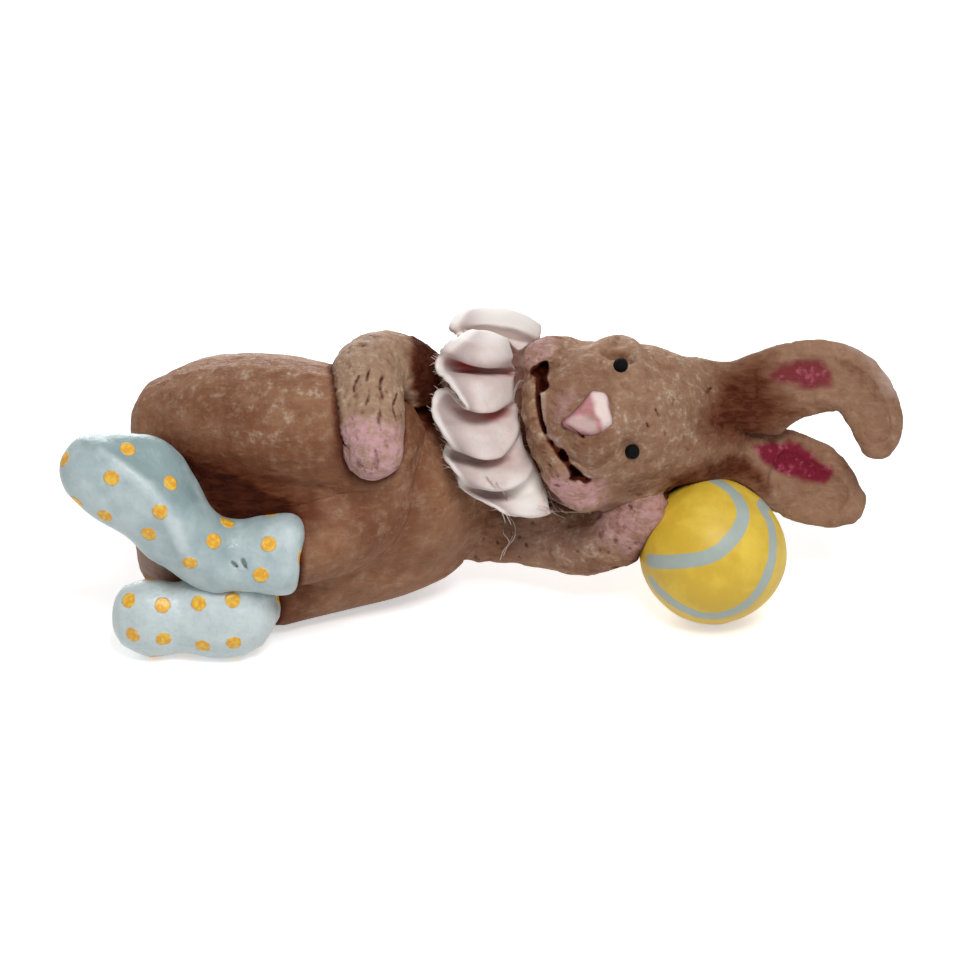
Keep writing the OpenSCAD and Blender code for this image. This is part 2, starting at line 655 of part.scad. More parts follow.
ruffle_head_shares = [
    [114, 1.07, 0.21], [103, 0.90, 0.23], [103, 0.74, 0.11], [94, 0.71, 0.04],
    [86, 1.04, -0.01], [75, 1.00, 0.06], [73, 0.85, 0.04], [81, 0.50, 0.03],
    [80, 0.37, 0.03], [65, 0.59, 0.06], [54, 0.49, 0.07], [57, 0.23, 0.05],
    [57, 0.10, 0.06], [52, 0.04, 0.09], [45, 0.13, 0.10], [36, 0.23, 0.13],
    [32, 0.05, 0.12], [26, 0.04, 0.14], [16, 0.04, 0.17], [8, 0.05, 0.23],
    [3, 0.22, 0.28], [-4, 0.12, 0.28], [-11, 0.07, 0.30], [-18, 0.17, 0.33],
    [-22, 0.34, 0.37], [-28, 0.67, 0.40], [-42, 0.40, 0.39], [-78, 0.28, 0.28],
    [-100, 0.05, 0.25], [-122, 0.39, 0.25], [-142, 0.05, 0.25], [-166, 0.49, 0.25],
    [-188, 0.05, 0.20], [-210, 0.60, 0.20], [-234, 0.12, 0.17]
];
// Distance from the ruffle's middle line to the chest, along one direction
function chest_table(k) = [for (r = torso_rows) [r[0], r[k]]];
function chest_r(at, way) =
    let (y = at[1] - lookup(at[0], chest_table(1)),
         z = at[2] - lookup(at[0], chest_table(2)),
         big = lookup(at[0], chest_table(3)),
         flat = norm([way[1], way[2]]),
         along = (y * way[1] + z * way[2]) / flat)
    -along + sqrt(max(0, along * along - y * y - z * z + big * big));
// Place of one bend, kept off the chest
function ruffle_place(s) =
    let (way = cos(s[0]) * ruffle_front + sin(s[0]) * ruffle_up,
         middle = ruffle_at + ruffle_way * ruffle_w * s[2])
    middle + way * max(ruffle_in_r + fold_h * s[1], chest_r(middle, way) + 2 * ruffle_t + cloth_gap);
// A closed line with places added on the smooth curve through its places
function fair_loop(t) =
    let (n = len(t))
    [for (i = [0 : n - 1], k = [0 : fair_steps - 1])
        between(t[(i + n - 1) % n], t[i], t[(i + 1) % n], t[(i + 2) % n], k / fair_steps)];
// Curve across the strip through its chest edge a, its middle b and its head edge c
function across(a, b, c, t) = a * (1 - t) * (1 - 2 * t) + b * 4 * t * (1 - t) + c * t * (2 * t - 1);
ruffle_edge = fair_loop([for (s = ruffle_edge_shares) ruffle_place(s)]);
ruffle_middle = fair_loop([for (s = ruffle_middle_shares) ruffle_place(s)]);
ruffle_head = fair_loop([for (s = ruffle_head_shares) ruffle_place(s)]);
module neck_ruffle_form() {
    around = len(ruffle_edge);
    last = strip_rows - 1;
    net = [
        for (j = [0 : last])
            [for (i = [0 : around - 1])
                across(ruffle_edge[i], ruffle_middle[i], ruffle_head[i], j / last)]
    ];
    points = [
        for (side = [-1, 1], j = [0 : last], i = [0 : around - 1])
            let (along = net[j][(i + 1) % around] - net[j][(i + around - 1) % around],
                 over = net[min(j + 1, last)][i] - net[max(j - 1, 0)][i])
            net[j][i] + unit(cross(along, over)) * side * ruffle_t / 2
    ];
    sheet = strip_rows * around;
    faces = concat(
        [for (j = [0 : last - 1], i = [0 : around - 1])
            let (a = j * around + i, b = j * around + (i + 1) % around)
            each [[a, b, b + around], [a, b + around, a + around]]],
        [for (j = [0 : last - 1], i = [0 : around - 1])
            let (a = sheet + j * around + i, b = sheet + j * around + (i + 1) % around)
            each [[a, b + around, b], [a, a + around, b + around]]],
        [for (i = [0 : around - 1])
            let (a = i, b = (i + 1) % around)
            each [[a, sheet + a, sheet + b], [a, sheet + b, b]]],
        [for (i = [0 : around - 1])
            let (a = sheet - around + i, b = sheet - around + (i + 1) % around)
            each [[a, sheet + b, sheet + a], [a, b, sheet + b]]]
    );
    polyhedron(points = points, faces = faces);
}

// The pieces
module torso() {
    color(pulp_brown) difference() {
        torso_form();
        translate([-torso_l / 2, -torso_d / 2, -rest_flat_h - cut_over])
            cube([torso_l, torso_d, rest_flat_h + cut_over]);
        neck_wire_form(wire_gap);
        limb_wires_form(wire_gap);
        ankle_wires_form(wire_gap);
        tail_wire_form(wire_gap);
    }
}
module left_leg() {
    color(pulp_brown) difference() {
        left_leg_form();
        torso_form(glue_gap);
        limb_wires_form(wire_gap);
        ankle_wires_form(wire_gap);
    }
}
module right_thigh() {
    color(pulp_brown) difference() {
        right_thigh_form();
        torso_form(glue_gap);
        limb_wires_form(wire_gap);
    }
}
module right_shin() {
    color(pulp_brown) difference() {
        right_shin_form();
        torso_form(glue_gap);
        right_thigh_form(glue_gap);
        left_leg_form(glue_gap);
        ankle_wires_form(wire_gap);
    }
}
module left_boot() {
    color(boot_blue) difference() {
        left_boot_form();
        left_leg_form(glue_gap);
        torso_form(glue_gap);
        ankle_wires_form(wire_gap);
    }
}
module right_boot() {
    color(boot_blue) difference() {
        right_boot_form();
        right_shin_form(glue_gap);
        right_thigh_form(glue_gap);
        left_leg_form(glue_gap);
        left_boot_form(glue_gap);
        torso_form(glue_gap);
        ankle_wires_form(wire_gap);
    }
}
module right_arm() {
    color(pulp_brown) difference() {
        right_arm_form();
        torso_form(glue_gap);
        right_thigh_form(glue_gap);
        limb_wires_form(wire_gap);
    }
}
module left_arm() {
    color(pulp_brown) difference() {
        left_arm_form();
        torso_form(glue_gap);
        head_form(glue_gap);
        jaw_form(glue_gap);
        ball_form(glue_gap);
        limb_wires_form(wire_gap);
        ball_wire_form(wire_gap);
    }
}
module head() {
    color(pulp_brown) difference() {
        head_form();
        torso_form(glue_gap);
        ball_form(glue_gap);
        neck_wire_form(wire_gap);
        ear_wires_form(wire_gap);
        eye_form(right_eye_share, wire_gap);
        eye_form(left_eye_share, wire_gap);
    }
}
module muzzle() {
    color(pulp_brown) difference() {
        muzzle_form();
        head_form(glue_gap);
    }
}
module jaw() {
    color(blush_pink) difference() {
        jaw_form();
        head_form(glue_gap);
        muzzle_form(glue_gap);
        torso_form(glue_gap);
    }
}
module nose() {
    color(blush_pink) difference() {
        nose_form();
        muzzle_form(glue_gap);
        head_form(glue_gap);
    }
}
module right_eye() {
    color(eye_black) eye_form(right_eye_share);
}
module left_eye() {
    color(eye_black) eye_form(left_eye_share);
}
module right_ear() {
    color(pulp_brown) difference() {
        right_ear_form();
        head_form(glue_gap);
        ear_wires_form(wire_gap);
        ear_dish(ear_rows(right_ear_root, right_ear_shares), 2);
    }
}
module left_ear() {
    color(pulp_brown) difference() {
        left_ear_form();
        head_form(glue_gap);
        right_ear_form(glue_gap);
        ball_form(glue_gap);
        ear_wires_form(wire_gap);
        ear_dish(ear_rows(left_ear_root, left_ear_shares), 2);
    }
}
module tail() {
    color(pulp_brown) difference() {
        tail_form();
        torso_form(glue_gap);
        tail_wire_form(wire_gap);
    }
}
module ball() {
    color(ball_yellow) difference() {
        ball_form();
        ball_wire_form(wire_gap);
    }
}
module neck_ruffle() {
    color(cloth_pink) neck_ruffle_form();
}
module gather_thread() {
    color(cloth_pink)
        translate(ruffle_at)
            rotate([0, acos(ruffle_way[2]), atan2(ruffle_way[1], ruffle_way[0])])
                rotate_extrude($fn = ball_fn)
                    translate([thread_r, 0]) circle(d = thread_d, $fn = wire_fn);
}
module neck_wire() {
    color(wire_grey) neck_wire_form();
}
module limb_wires() {
    color(wire_grey) limb_wires_form();
}
module ankle_wires() {
    color(wire_grey) ankle_wires_form();
}
module ear_wires() {
    color(wire_grey) ear_wires_form();
}
module ball_wire() {
    color(wire_grey) ball_wire_form();
}
module tail_wire() {
    color(wire_grey) tail_wire_form();
}

torso();
right_thigh();
right_shin();
left_leg();
right_boot();
left_boot();
right_arm();
left_arm();
head();
muzzle();
jaw();
nose();
right_eye();
left_eye();
right_ear();
left_ear();
tail();
ball();
neck_ruffle();
gather_thread();
neck_wire();
limb_wires();
ankle_wires();
ear_wires();
ball_wire();
tail_wire();
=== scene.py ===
"""Sleeping rabbit figurine of painted paper pulp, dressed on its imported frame."""
import math

import bmesh
import bpy
import numpy as np
import openvdb
from mathutils import Matrix, Vector
from mathutils.bvhtree import BVHTree


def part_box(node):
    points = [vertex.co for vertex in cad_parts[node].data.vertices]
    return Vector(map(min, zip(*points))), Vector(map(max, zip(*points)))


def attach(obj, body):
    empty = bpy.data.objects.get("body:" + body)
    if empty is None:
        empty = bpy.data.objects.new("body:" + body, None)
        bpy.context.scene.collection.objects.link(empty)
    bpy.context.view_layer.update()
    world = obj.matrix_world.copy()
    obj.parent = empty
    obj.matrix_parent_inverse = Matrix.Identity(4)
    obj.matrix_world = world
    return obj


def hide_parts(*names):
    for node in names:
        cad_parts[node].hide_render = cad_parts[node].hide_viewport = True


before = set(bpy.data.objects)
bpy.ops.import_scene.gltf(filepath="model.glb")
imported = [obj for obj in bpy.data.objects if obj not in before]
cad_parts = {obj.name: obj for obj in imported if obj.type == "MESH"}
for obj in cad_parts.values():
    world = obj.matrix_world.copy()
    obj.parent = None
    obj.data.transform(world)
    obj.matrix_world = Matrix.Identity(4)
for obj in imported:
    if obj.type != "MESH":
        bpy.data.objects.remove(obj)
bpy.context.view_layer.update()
MM = 0.001
# Least height of the pulp and the ball over the ground, in mm
FLOOR_GAP = 0.02

# Camera: the photograph's viewing angle and scale
PHOTO_W = 970
PHOTO_H = 971
LOOK_AT = np.array([36.3, -6.0, 27.0])
LOOK_DOWN = math.radians(28)
CAMERA_FAR = 900.0
CLIP_START = 0.01
FOCAL_PX = 4379.0
SENSOR_MM = 36.0
look_way = np.array([0, math.cos(LOOK_DOWN), -math.sin(LOOK_DOWN)])
look_up = np.array([0, math.sin(LOOK_DOWN), math.cos(LOOK_DOWN)])
camera_at = LOOK_AT - look_way * CAMERA_FAR


def new_object(name, data):
    thing = bpy.data.objects.new(name, data)
    bpy.context.collection.objects.link(thing)
    return thing


def make_camera():
    data = bpy.data.cameras.new("photo_camera")
    data.sensor_width = SENSOR_MM
    data.lens = SENSOR_MM * FOCAL_PX / PHOTO_W
    data.clip_start = CLIP_START
    camera = new_object("photo_camera", data)
    camera.location = camera_at * MM
    camera.rotation_euler = (math.pi / 2 - LOOK_DOWN, 0, 0)
    bpy.context.scene.camera = camera


def path(text):
    """Places written as u,v or x,y,z with a space between them."""
    return [tuple(float(n) for n in place.split(",")) for place in text.split()]


def pixel_ray(u, v):
    """Direction from the camera through one pixel of the photograph."""
    way = look_way * FOCAL_PX + np.array([1, 0, 0]) * (u - PHOTO_W / 2) + look_up * (PHOTO_H / 2 - v)
    return way / np.linalg.norm(way)


def to_pixels(points):
    """Photograph pixels of points in mm, for painting that follows the photograph."""
    rel = points - camera_at
    depth = rel @ look_way
    u = PHOTO_W / 2 + FOCAL_PX * rel[:, 0] / depth
    v = PHOTO_H / 2 - FOCAL_PX * (rel @ look_up) / depth
    return u, v


def ray_tree(*pieces):
    """What rays meet: the faces of some objects."""
    places, faces = [], []
    for piece in pieces:
        start = len(places)
        places += [v.co for v in piece.data.vertices]
        faces += [[start + k for k in face.vertices] for face in piece.data.polygons]
    return BVHTree.FromPolygons(places, faces)


def seen(tree, pixels, sunk=0.0):
    """Places in mm where a tree's faces show at pixels, sunk by so much or by a pixel's own third value.

    Pixels that miss the faces are left out.
    """
    places = []
    for u, v, *own in pixels:
        ray = pixel_ray(u, v)
        hit = tree.ray_cast(Vector(camera_at * MM), Vector(ray))[0]
        if hit is not None:
            places.append(np.array(hit) / MM + ray * (own[0] if own else sunk))
    return places


make_camera()

# Smooth noise on a lattice of random values that repeats
NOISE_SIDE = 32
lattice = np.random.default_rng(7).random((NOISE_SIDE,) * 3).astype(np.float32)


def cell_corners(t):
    """The eight corners of a lattice cell, each with its three weights at the places t in the cell."""
    for corner in np.ndindex(2, 2, 2):
        yield corner, [t[:, k] if far else 1 - t[:, k] for k, far in enumerate(corner)]


def noise(points, size, shift=0.0):
    """Value noise from 0 to 1, with features about size mm across."""
    p = points / size + shift
    cell = np.floor(p).astype(np.int64)
    t = (p - cell).astype(np.float32)
    t = t * t * (3 - 2 * t)
    total = np.zeros(len(p), np.float32)
    for corner, (wx, wy, wz) in cell_corners(t):
        near = lattice[tuple((cell[:, k] + step) % NOISE_SIDE for k, step in enumerate(corner))]
        total += near * wx * wy * wz
    return total


def smooth(edge0, edge1, x):
    t = np.clip((x - edge0) / (edge1 - edge0), 0, 1)
    return t * t * (3 - 2 * t)


# Distance fields of the pulp pieces on one lattice
CELL = 0.4
BAND = 14
MARGIN = 6
PULP = ["torso", "right_thigh", "right_shin", "left_leg", "right_boot", "left_boot", "right_arm", "left_arm",
        "head", "muzzle", "jaw", "nose", "right_ear", "left_ear", "tail"]
SOLIDS = PULP + ["ball"]
transform = openvdb.createLinearTransform(voxelSize=CELL)


def node_mesh(name):
    """Corners in mm and triangles of a node of the frame."""
    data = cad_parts[name].data
    data.calc_loop_triangles()
    co = np.empty(len(data.vertices) * 3, np.float32)
    data.vertices.foreach_get("co", co)
    tri = np.empty(len(data.loop_triangles) * 3, np.int32)
    data.loop_triangles.foreach_get("vertices", tri)
    return co.reshape(-1, 3) / MM, tri.reshape(-1, 3)


def level_set(name, spacing, width):
    points, tris = node_mesh(name)
    return openvdb.FloatGrid.createLevelSetFromPolygons(
        points.astype(np.float32), triangles=tris.astype(np.uint32), transform=spacing, halfWidth=width)


fields = {name: level_set(name, transform, BAND) for name in PULP}


def dense(grid, low, shape):
    values = np.empty(shape, np.float32)
    grid.copyToArray(values, ijk=tuple(low.tolist()))
    return values


def span(name):
    """Lowest lattice corner and shape of a node's own part of the lattice."""
    points, _ = node_mesh(name)
    low = np.floor(points.min(0) / CELL).astype(int) - MARGIN
    high = np.ceil(points.max(0) / CELL).astype(int) + MARGIN
    return low, tuple(int(n) for n in high - low + 1)


# Widths in mm over which two pieces flow into each other; others keep a narrow crease
CREASE = 0.9
FLOW = {
    "torso right_thigh": 3.5, "torso right_shin": 3.5, "right_shin right_thigh": 5.0, "left_leg torso": 6.5,
    "left_leg right_shin": 4.0, "left_arm torso": 6.0, "head left_arm": 4.5, "jaw left_arm": 2.5,
    "right_arm torso": 2.6, "head right_ear": 5.5, "head left_ear": 5.5, "head muzzle": 6.0, "head jaw": 3.5,
    "muzzle nose": 0.2, "head nose": 0.2, "tail torso": 2.0, "jaw muzzle": 0.5, "head torso": 2.0,
    "left_ear right_ear": 3.5, "right_boot right_shin": 2.0, "left_boot left_leg": 2.0,
    "left_boot right_boot": 4.0,
}
# Joins at least this wide are painted over, with no painted shade along the seam
SEAMLESS = 3.0


def flow_width(a, b):
    return FLOW.get(f"{a} {b}", FLOW.get(f"{b} {a}", CREASE))


def joined_field(name, low, shape):
    """A piece's field with fillets towards its neighbours, and the distance to the nearest of them, which
    sets painted shade along the seams.
    """
    own = dense(fields[name], low, shape)
    fillet = np.zeros(shape, np.float32)
    nearest = np.full(shape, BAND * CELL, np.float32)
    high = low + np.array(shape)
    for other in PULP:
        low2, shape2 = span(other)
        if other == name or np.any(low2 > high) or np.any(low2 + np.array(shape2) < low):
            continue
        far = dense(fields[other], low, shape)
        k = flow_width(name, other)
        if k < SEAMLESS and other != "nose":
            nearest = np.minimum(nearest, far)
        fillet = np.maximum(fillet, k / 4 * np.maximum(1 - np.abs(own - far) / k, 0) ** 2)
    return own - fillet, nearest


# The head's own frame: X to the crown, Y across the face, Z out of it
HEAD_AT = np.array([62.6, -3.1, 42.2])
FACE_LEAN = math.radians(62)
HEAD_ROLL = math.radians(9)
head_turn = np.array(Matrix.Rotation(FACE_LEAN, 3, "X") @ Matrix.Rotation(HEAD_ROLL, 3, "Z"))
face_way = head_turn[:, 2]


def in_head(points):
    return (points - HEAD_AT) @ head_turn


def capsule(points, a, b, radius):
    """Distance to a round bar from a to b."""
    way = b - a
    t = np.clip(((points - a) @ way) / (way @ way), 0, 1)
    return np.linalg.norm(points - a - t[:, None] * way, axis=1) - radius


def string(points, stops, radius):
    """Distance to a round bar through several stops."""
    return np.min([capsule(points, a, b, radius) for a, b in zip(stops, stops[1:])], axis=0)


def soft_min(a, b, k):
    return np.minimum(a, b) - k / 4 * np.maximum(1 - np.abs(a - b) / k, 0) ** 2


def soft_cut(a, b, k):
    """Field a with the solid of field b taken out of it."""
    return -soft_min(-a, b, k)


# Carving that follows lines of the photograph, laid on the plain solids
solid_tree = ray_tree(*(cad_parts[name] for name in SOLIDS))


def on_solids(text, sunk=0.0):
    return seen(solid_tree, path(text), sunk)


def at_depth(text):
    """Places seen at pixels u, v that lie y mm from the frame's middle plane, front to back."""
    rays = [(pixel_ray(u, v), y) for u, v, y in path(text)]
    return [camera_at + ray * (y - camera_at[1]) / ray[1] for ray, y in rays]


# Columns of pixels on both sides of the open mouth
MOUTH = (534, 553)


def over_mouth(rows, sunk):
    """Places midway over the mouth's gap, between what its two sides show in some rows of pixels."""
    sides = [(seen(solid_tree, [(u, v) for u in MOUTH]), pixel_ray(sum(MOUTH) / 2, v)) for v in rows]
    return [sum(side) / len(side) + ray * sunk for side, ray in sides]


def curve(stops, steps):
    """A smooth line through stops."""
    pts = np.array(stops, float)
    pad = np.vstack([2 * pts[0] - pts[1], pts, 2 * pts[-1] - pts[-2]])
    line = []
    for k in range(len(pts) - 1):
        a, b, c, d = pad[k:k + 4]
        for t in np.arange(steps) / steps:
            line.append(b + ((c - a) * t + (2 * a - 5 * b + 4 * c - d) * t * t
                             + (3 * b - a - 3 * c + d) * t ** 3) / 2)
    line.append(pts[-1])
    return np.array(line)


# Pieces, pixels, radius in mm, how far its middle is sunk, softness; a groove takes away, a ridge adds
FACE = "head muzzle jaw"
GROOVES = [
    (FACE, "531,358 537,372 541,388 543,404 545,420 549,436 558,447 566,457 574,468 585,477", 0.9, 0.6, 0.4),
    (FACE, "562,449 569,461 576,470", 1.7, 1.1, 0.5),
    ("head", "609,356 618,355 628,360", 1.3, 0.1, 1.3),
    ("nose muzzle", "567,427 574,431 584,437", 0.35, 0.1, 0.3),
    ("head", "712,385 710,389 706,393 706,398 705,404", 0.32, 0.1, 0.3),
    ("head", "656,410 659,417", 0.3, 0.0, 0.4),
    ("head", "667,427 665,434", 0.35, -0.1, 0.6),
    ("head", "646,423 648,427", 0.22, 0.0, 0.3),
    ("head", "674,399 672,405", 0.16, 0.0, 0.3),
    ("head", "653,355 657,362 663,365", 0.2, 0.0, 0.4),
    ("head", "684,446 689,450", 0.3, -0.1, 0.6),
    ("right_arm", "359,376 354,388 356,399 353,412", 0.24, 0.0, 0.7),
    ("right_arm", "371,366 367,380 370,392 366,404", 0.22, 0.0, 0.7),
    ("right_arm", "385,372 380,386 383,400 379,418 381,430", 0.26, 0.0, 0.7),
    ("right_arm", "397,394 393,406 396,420", 0.2, 0.0, 0.7),
    ("right_arm", "350,428 354,442 351,452", 0.2, 0.0, 0.6),
    ("right_arm", "373,440 376,454 372,470", 0.24, 0.0, 0.6),
    ("right_boot", "137,481 142,489", 0.25, 0.0, 0.3),
    ("right_boot", "143,477 147,487", 0.25, 0.0, 0.3),
    ("right_boot", "149,480 152,490", 0.22, 0.0, 0.3),
    ("right_boot", "233,562 239,569", 0.25, 0.0, 0.4),
    ("right_boot", "243,560 248,570", 0.25, 0.0, 0.4),
    ("torso", "420,338 424,360 424,385 420,410", 2.6, 0.4, 2.0),
]
RIDGES = [
    ("muzzle head", "548,361 546,376 545,390 545,404 547,420 551,433 558,440 566,449 574,459 583,469 "
        "588,474", 0.8, 0.2, 0.6),
    ("head", "593,353 604,345 618,341 631,345 638,355 638,368 634,380", 1.3, 0.75, 1.8),
    ("right_boot", "101,452 122,468 148,489 172,522 190,558", 1.1, 0.6, 3.0),
    ("jaw head", "533,412 537,428 545,444 556,459 562,472", 1.3, 0.4, 1.6),
]


def laid(lines):
    """The lines as places in mm, without the lines that miss the figure."""
    found = [(names, on_solids(pixels, sunk), radius, soft) for names, pixels, radius, sunk, soft in lines]
    return [(names, curve(stops, 3), radius, soft) for names, stops, radius, soft in found if len(stops) > 1]


grooves = laid(GROOVES)
grooves.append((FACE, curve(over_mouth((363, 374, 388), 0.3), 3), 1.1, 0.5))
ridges = laid(RIDGES)
lip_ridge = ridges[0]
boot_ridge = ridges[2]

# Pulp that the photograph shows filling a gap: pieces, places in mm, radius, softness
FILLS = [
    ("head", path("48,-2,27 55,-4,24.5 64,-5,24 72,-4,24"), 3.2, 2.5),
    ("left_arm", path("46,-1,18 54,-2,18.5 62,-3,19.5 68,-3.5,21.5 73,-3.5,24"), 3.6, 3.0),
    ("right_ear", path("80,-1,42 88,-1,40.2 95.5,-0.5,39"), 2.5, 4.0),
    ("right_boot", at_depth("92,458,-26 118,455,-25 146,455,-24 167,470,-24 184,500,-24"), 4.3, 3.0),
    ("right_boot", at_depth("82,470,-28 106,498,-28 135,516,-28 158,538,-28"), 4.4, 3.0),
    ("right_boot left_boot", on_solids("222,574,1.6 250,577,1.4 282,577,1.6"), 2.2, 2.5),
    ("torso right_thigh right_shin", on_solids("222,488,4.3 250,499,4 276,507,3.8 302,511,3.3"), 4.0, 5.0),
    ("right_boot", on_solids("262,538,4.2 288,534,4.2"), 4.2, 1.5),
    (FACE, over_mouth((360, 368, 378, 390), 3.2), 2.6, 1.6),
    (FACE, on_solids("536,352,2 540,356,2 550,352,2 563,352,2.2"), 3.0, 3.0),
]
fills = [(names, curve(stops, 4), radius, soft) for names, stops, radius, soft in FILLS]


def near_bar(points, stops, radius, reach):
    """Which points lie near a bar, and how far from it."""
    near = np.all((points > stops.min(0) - reach) & (points < stops.max(0) + reach), axis=1)
    return near, string(points[near], stops, radius)


def block(g, low, box_low, box_high):
    """The part of a dense lattice inside a box in mm, and its points."""
    first = np.maximum(np.floor(box_low / CELL).astype(int) - low, 0)
    last = np.minimum(np.ceil(box_high / CELL).astype(int) - low + 1, g.shape)
    if np.any(last <= first):
        return None, None
    part = g[tuple(slice(a, b) for a, b in zip(first, last))]
    return part, (np.indices(part.shape).reshape(3, -1).T + first + low) * CELL


def bars(name, g, low, lines, spare):
    """The blocks of a piece's lattice that its lines pass, their points, and the distance to each bar."""
    for names, stops, radius, soft in lines:
        reach = radius + soft + spare
        part, p = block(g, low, stops.min(0) - reach, stops.max(0) + reach)
        if name in names.split() and part is not None:
            yield part, p, string(p, stops, radius), radius, soft


def fill(name, g, low, lines, spare):
    for part, _, bar, _, soft in bars(name, g, low, lines, spare):
        part[...] = soft_min(part.ravel(), bar, soft).reshape(part.shape)


# Round hollows that the eyes sit in
DISH_R = 2.7
DISH_SUNK = 0.15
DISH_REACH = 9
DISH_OUT = 6
DISH_SOFT = 0.9


def eye_dish(g, low, eye):
    """Presses the round hollow of one eye into the head."""
    h = in_head(node_mesh(eye)[0])
    radius = np.ptp(h[:, 0]) / 2
    middle = np.array([h[:, 0].min() + radius, h[:, 1].min() + radius, h[:, 2].max() - radius])
    bead = middle @ head_turn.T + HEAD_AT
    part, p = block(g, low, bead - DISH_REACH, bead + DISH_REACH)
    dish = capsule(p, bead + face_way * (DISH_R - DISH_SUNK), bead + face_way * DISH_OUT, DISH_R)
    part[...] = soft_cut(part.ravel(), dish, DISH_SOFT).reshape(part.shape)


# The nose's five sides in the head's frame, their draft and depth, and how its bridge falls
NOSE_OUTLINE = np.array(path("-11.2,-0.7 -3.9,5.5 -1.3,4.2 -1,-6 -7.4,-4.2"))
NOSE_DRAFT = 0.35
NOSE_DEEP = 2.5
BRIDGE_START = -4.3
BRIDGE_FALL = 0.42
BRIDGE_SUNK = 0.1


def nose_cut(p):
    """Field of the room that the nose's five sides and its bridge leave it."""
    h = in_head(p)
    top = in_head(node_mesh("nose")[0])[:, 2].max()
    field = np.full(len(p), -9.0)
    for a, b in zip(NOSE_OUTLINE, np.roll(NOSE_OUTLINE, -1, axis=0)):
        way = (b - a) / np.linalg.norm(b - a)
        out = np.array([-way[1], way[0]])
        side = (h[:, :2] - a) @ out + NOSE_DRAFT * (h[:, 2] - top + NOSE_DEEP)
        field = -soft_min(-field, -side, 0.6)
    bridge = h[:, 2] - (top - BRIDGE_SUNK - BRIDGE_FALL * (h[:, 0] - BRIDGE_START))
    return -soft_min(-field, -bridge, 0.4)


# Radius from which a groove is a wide hollow, with no painted shade and little wobble
WIDE_GROOVE = 2.0


def carve(name, g, low):
    fill(name, g, low, ridges, 1)
    for part, p, bar, radius, soft in bars(name, g, low, grooves, 1):
        wobble = (noise(p, 1.6, 0.4) - 0.5) * (0.9 * radius if radius < WIDE_GROOVE else 0.4)
        part[...] = soft_cut(part.ravel(), bar + wobble, soft).reshape(part.shape)
    if name == "head":
        for eye in ("right_eye", "left_eye"):
            eye_dish(g, low, eye)
    if name == "nose":
        part, p = block(g, low, low * CELL, (low + np.array(g.shape)) * CELL)
        part[...] = -soft_min(-part.ravel(), -nose_cut(p), 0.5).reshape(part.shape)


# Pieces whose edges are rounded off, with the reach in mm
SOFTEN = {"right_boot": 2.4, "left_boot": 1.0, "right_shin": 0.8, "left_leg": 0.8}


def soften(g, reach):
    """A lattice averaged over its near places, twice over."""
    n = max(1, int(round(reach / CELL / 2)))
    for _ in range(2):
        for axis in range(3):
            total = np.zeros_like(g)
            for k in range(-n, n + 1):
                total += np.roll(g, k, axis=axis)
            g = total / (2 * n + 1)
    return g


# How rough each piece's pulp is: depths in mm of wide, middle and fine lumps, near its skin only
LUMP_SIZES = (9.0, 2.6, 1.0)
ROUGH_REACH = 2.2
ROUGH = {"torso": (0.35, 0.10, 0.03), "right_thigh": (0.35, 0.12, 0.04), "right_shin": (0.3, 0.1, 0.03),
         "head": (0.40, 0.16, 0.07), "muzzle": (0.45, 0.35, 0.16), "jaw": (0.45, 0.55, 0.25),
         "nose": (0.15, 0.10, 0.04)}
for side in ("right", "left"):
    ROUGH[side + "_arm"] = (0.40, 0.20, 0.10)
    ROUGH[side + "_boot"] = (0.30, 0.08, 0.03)
    ROUGH[side + "_ear"] = (0.30, 0.14, 0.06)
# Size of the pits, and their depth on each piece
PIT_SIZE = 1.5
PITTED = {"head": 0.30, "muzzle": 0.35, "jaw": 0.55, "right_arm": 0.40, "left_arm": 0.45, "right_ear": 0.15,
          "left_ear": 0.20, "right_thigh": 0.15}


def roughen(g, p, depths, pitted):
    for k, (size, depth) in enumerate(zip(LUMP_SIZES, depths)):
        g = g + (noise(p, size, 3.7 * k) - 0.5) * 2 * depth
    return g + smooth(0.72, 0.86, noise(p, PIT_SIZE, 9.1)) * pitted


def pulp_field(name):
    """A piece's dressed lattice and its lowest corner, and the distance to its nearest neighbour."""
    low, shape = span(name)
    g, nearest = joined_field(name, low, shape)
    fill(name, g, low, fills, 0)
    if name in SOFTEN:
        g = soften(g, SOFTEN[name])
    if name in ROUGH:
        skin = np.abs(g) < ROUGH_REACH
        g[skin] = roughen(g[skin], (np.argwhere(skin) + low) * CELL, ROUGH[name], PITTED.get(name, 0.0))
    carve(name, g, low)
    return g, low, nearest


# Shares of each step towards the neighbours' middle, in and then out again
RELAX_STEPS = (0.5, -0.52, 0.5, -0.52)


def relax(points, quads):
    """Evens out the lattice's steps."""
    a = quads.ravel()
    b = np.roll(quads, -1, axis=1).ravel()
    count = np.bincount(a, minlength=len(points)) + np.bincount(b, minlength=len(points))
    for step in RELAX_STEPS:
        total = np.zeros_like(points)
        for axis in range(3):
            total[:, axis] = (np.bincount(a, points[b, axis], len(points))
                              + np.bincount(b, points[a, axis], len(points)))
        points = points + (total / count[:, None] - points) * step
    return points


def over_floor(points):
    points[:, 2] = np.maximum(points[:, 2], FLOOR_GAP)


def ring_faces(rings, around, start=0):
    """Four-sided faces between closed rings of corners that follow each other."""
    i, k = np.meshgrid(np.arange(rings - 1), np.arange(around), indexing="ij")
    a = (start + i * around + k).ravel()
    b = (start + i * around + (k + 1) % around).ravel()
    return np.stack([a, b, b + around, a + around], 1)


def mesh_object(name, points, faces):
    """A new smooth object from corners in mm."""
    data = bpy.data.meshes.new(name)
    data.from_pydata((points * MM).tolist(), [], faces)
    data.update()
    data.polygons.foreach_set("use_smooth", np.ones(len(data.polygons), bool))
    return new_object(name, data)


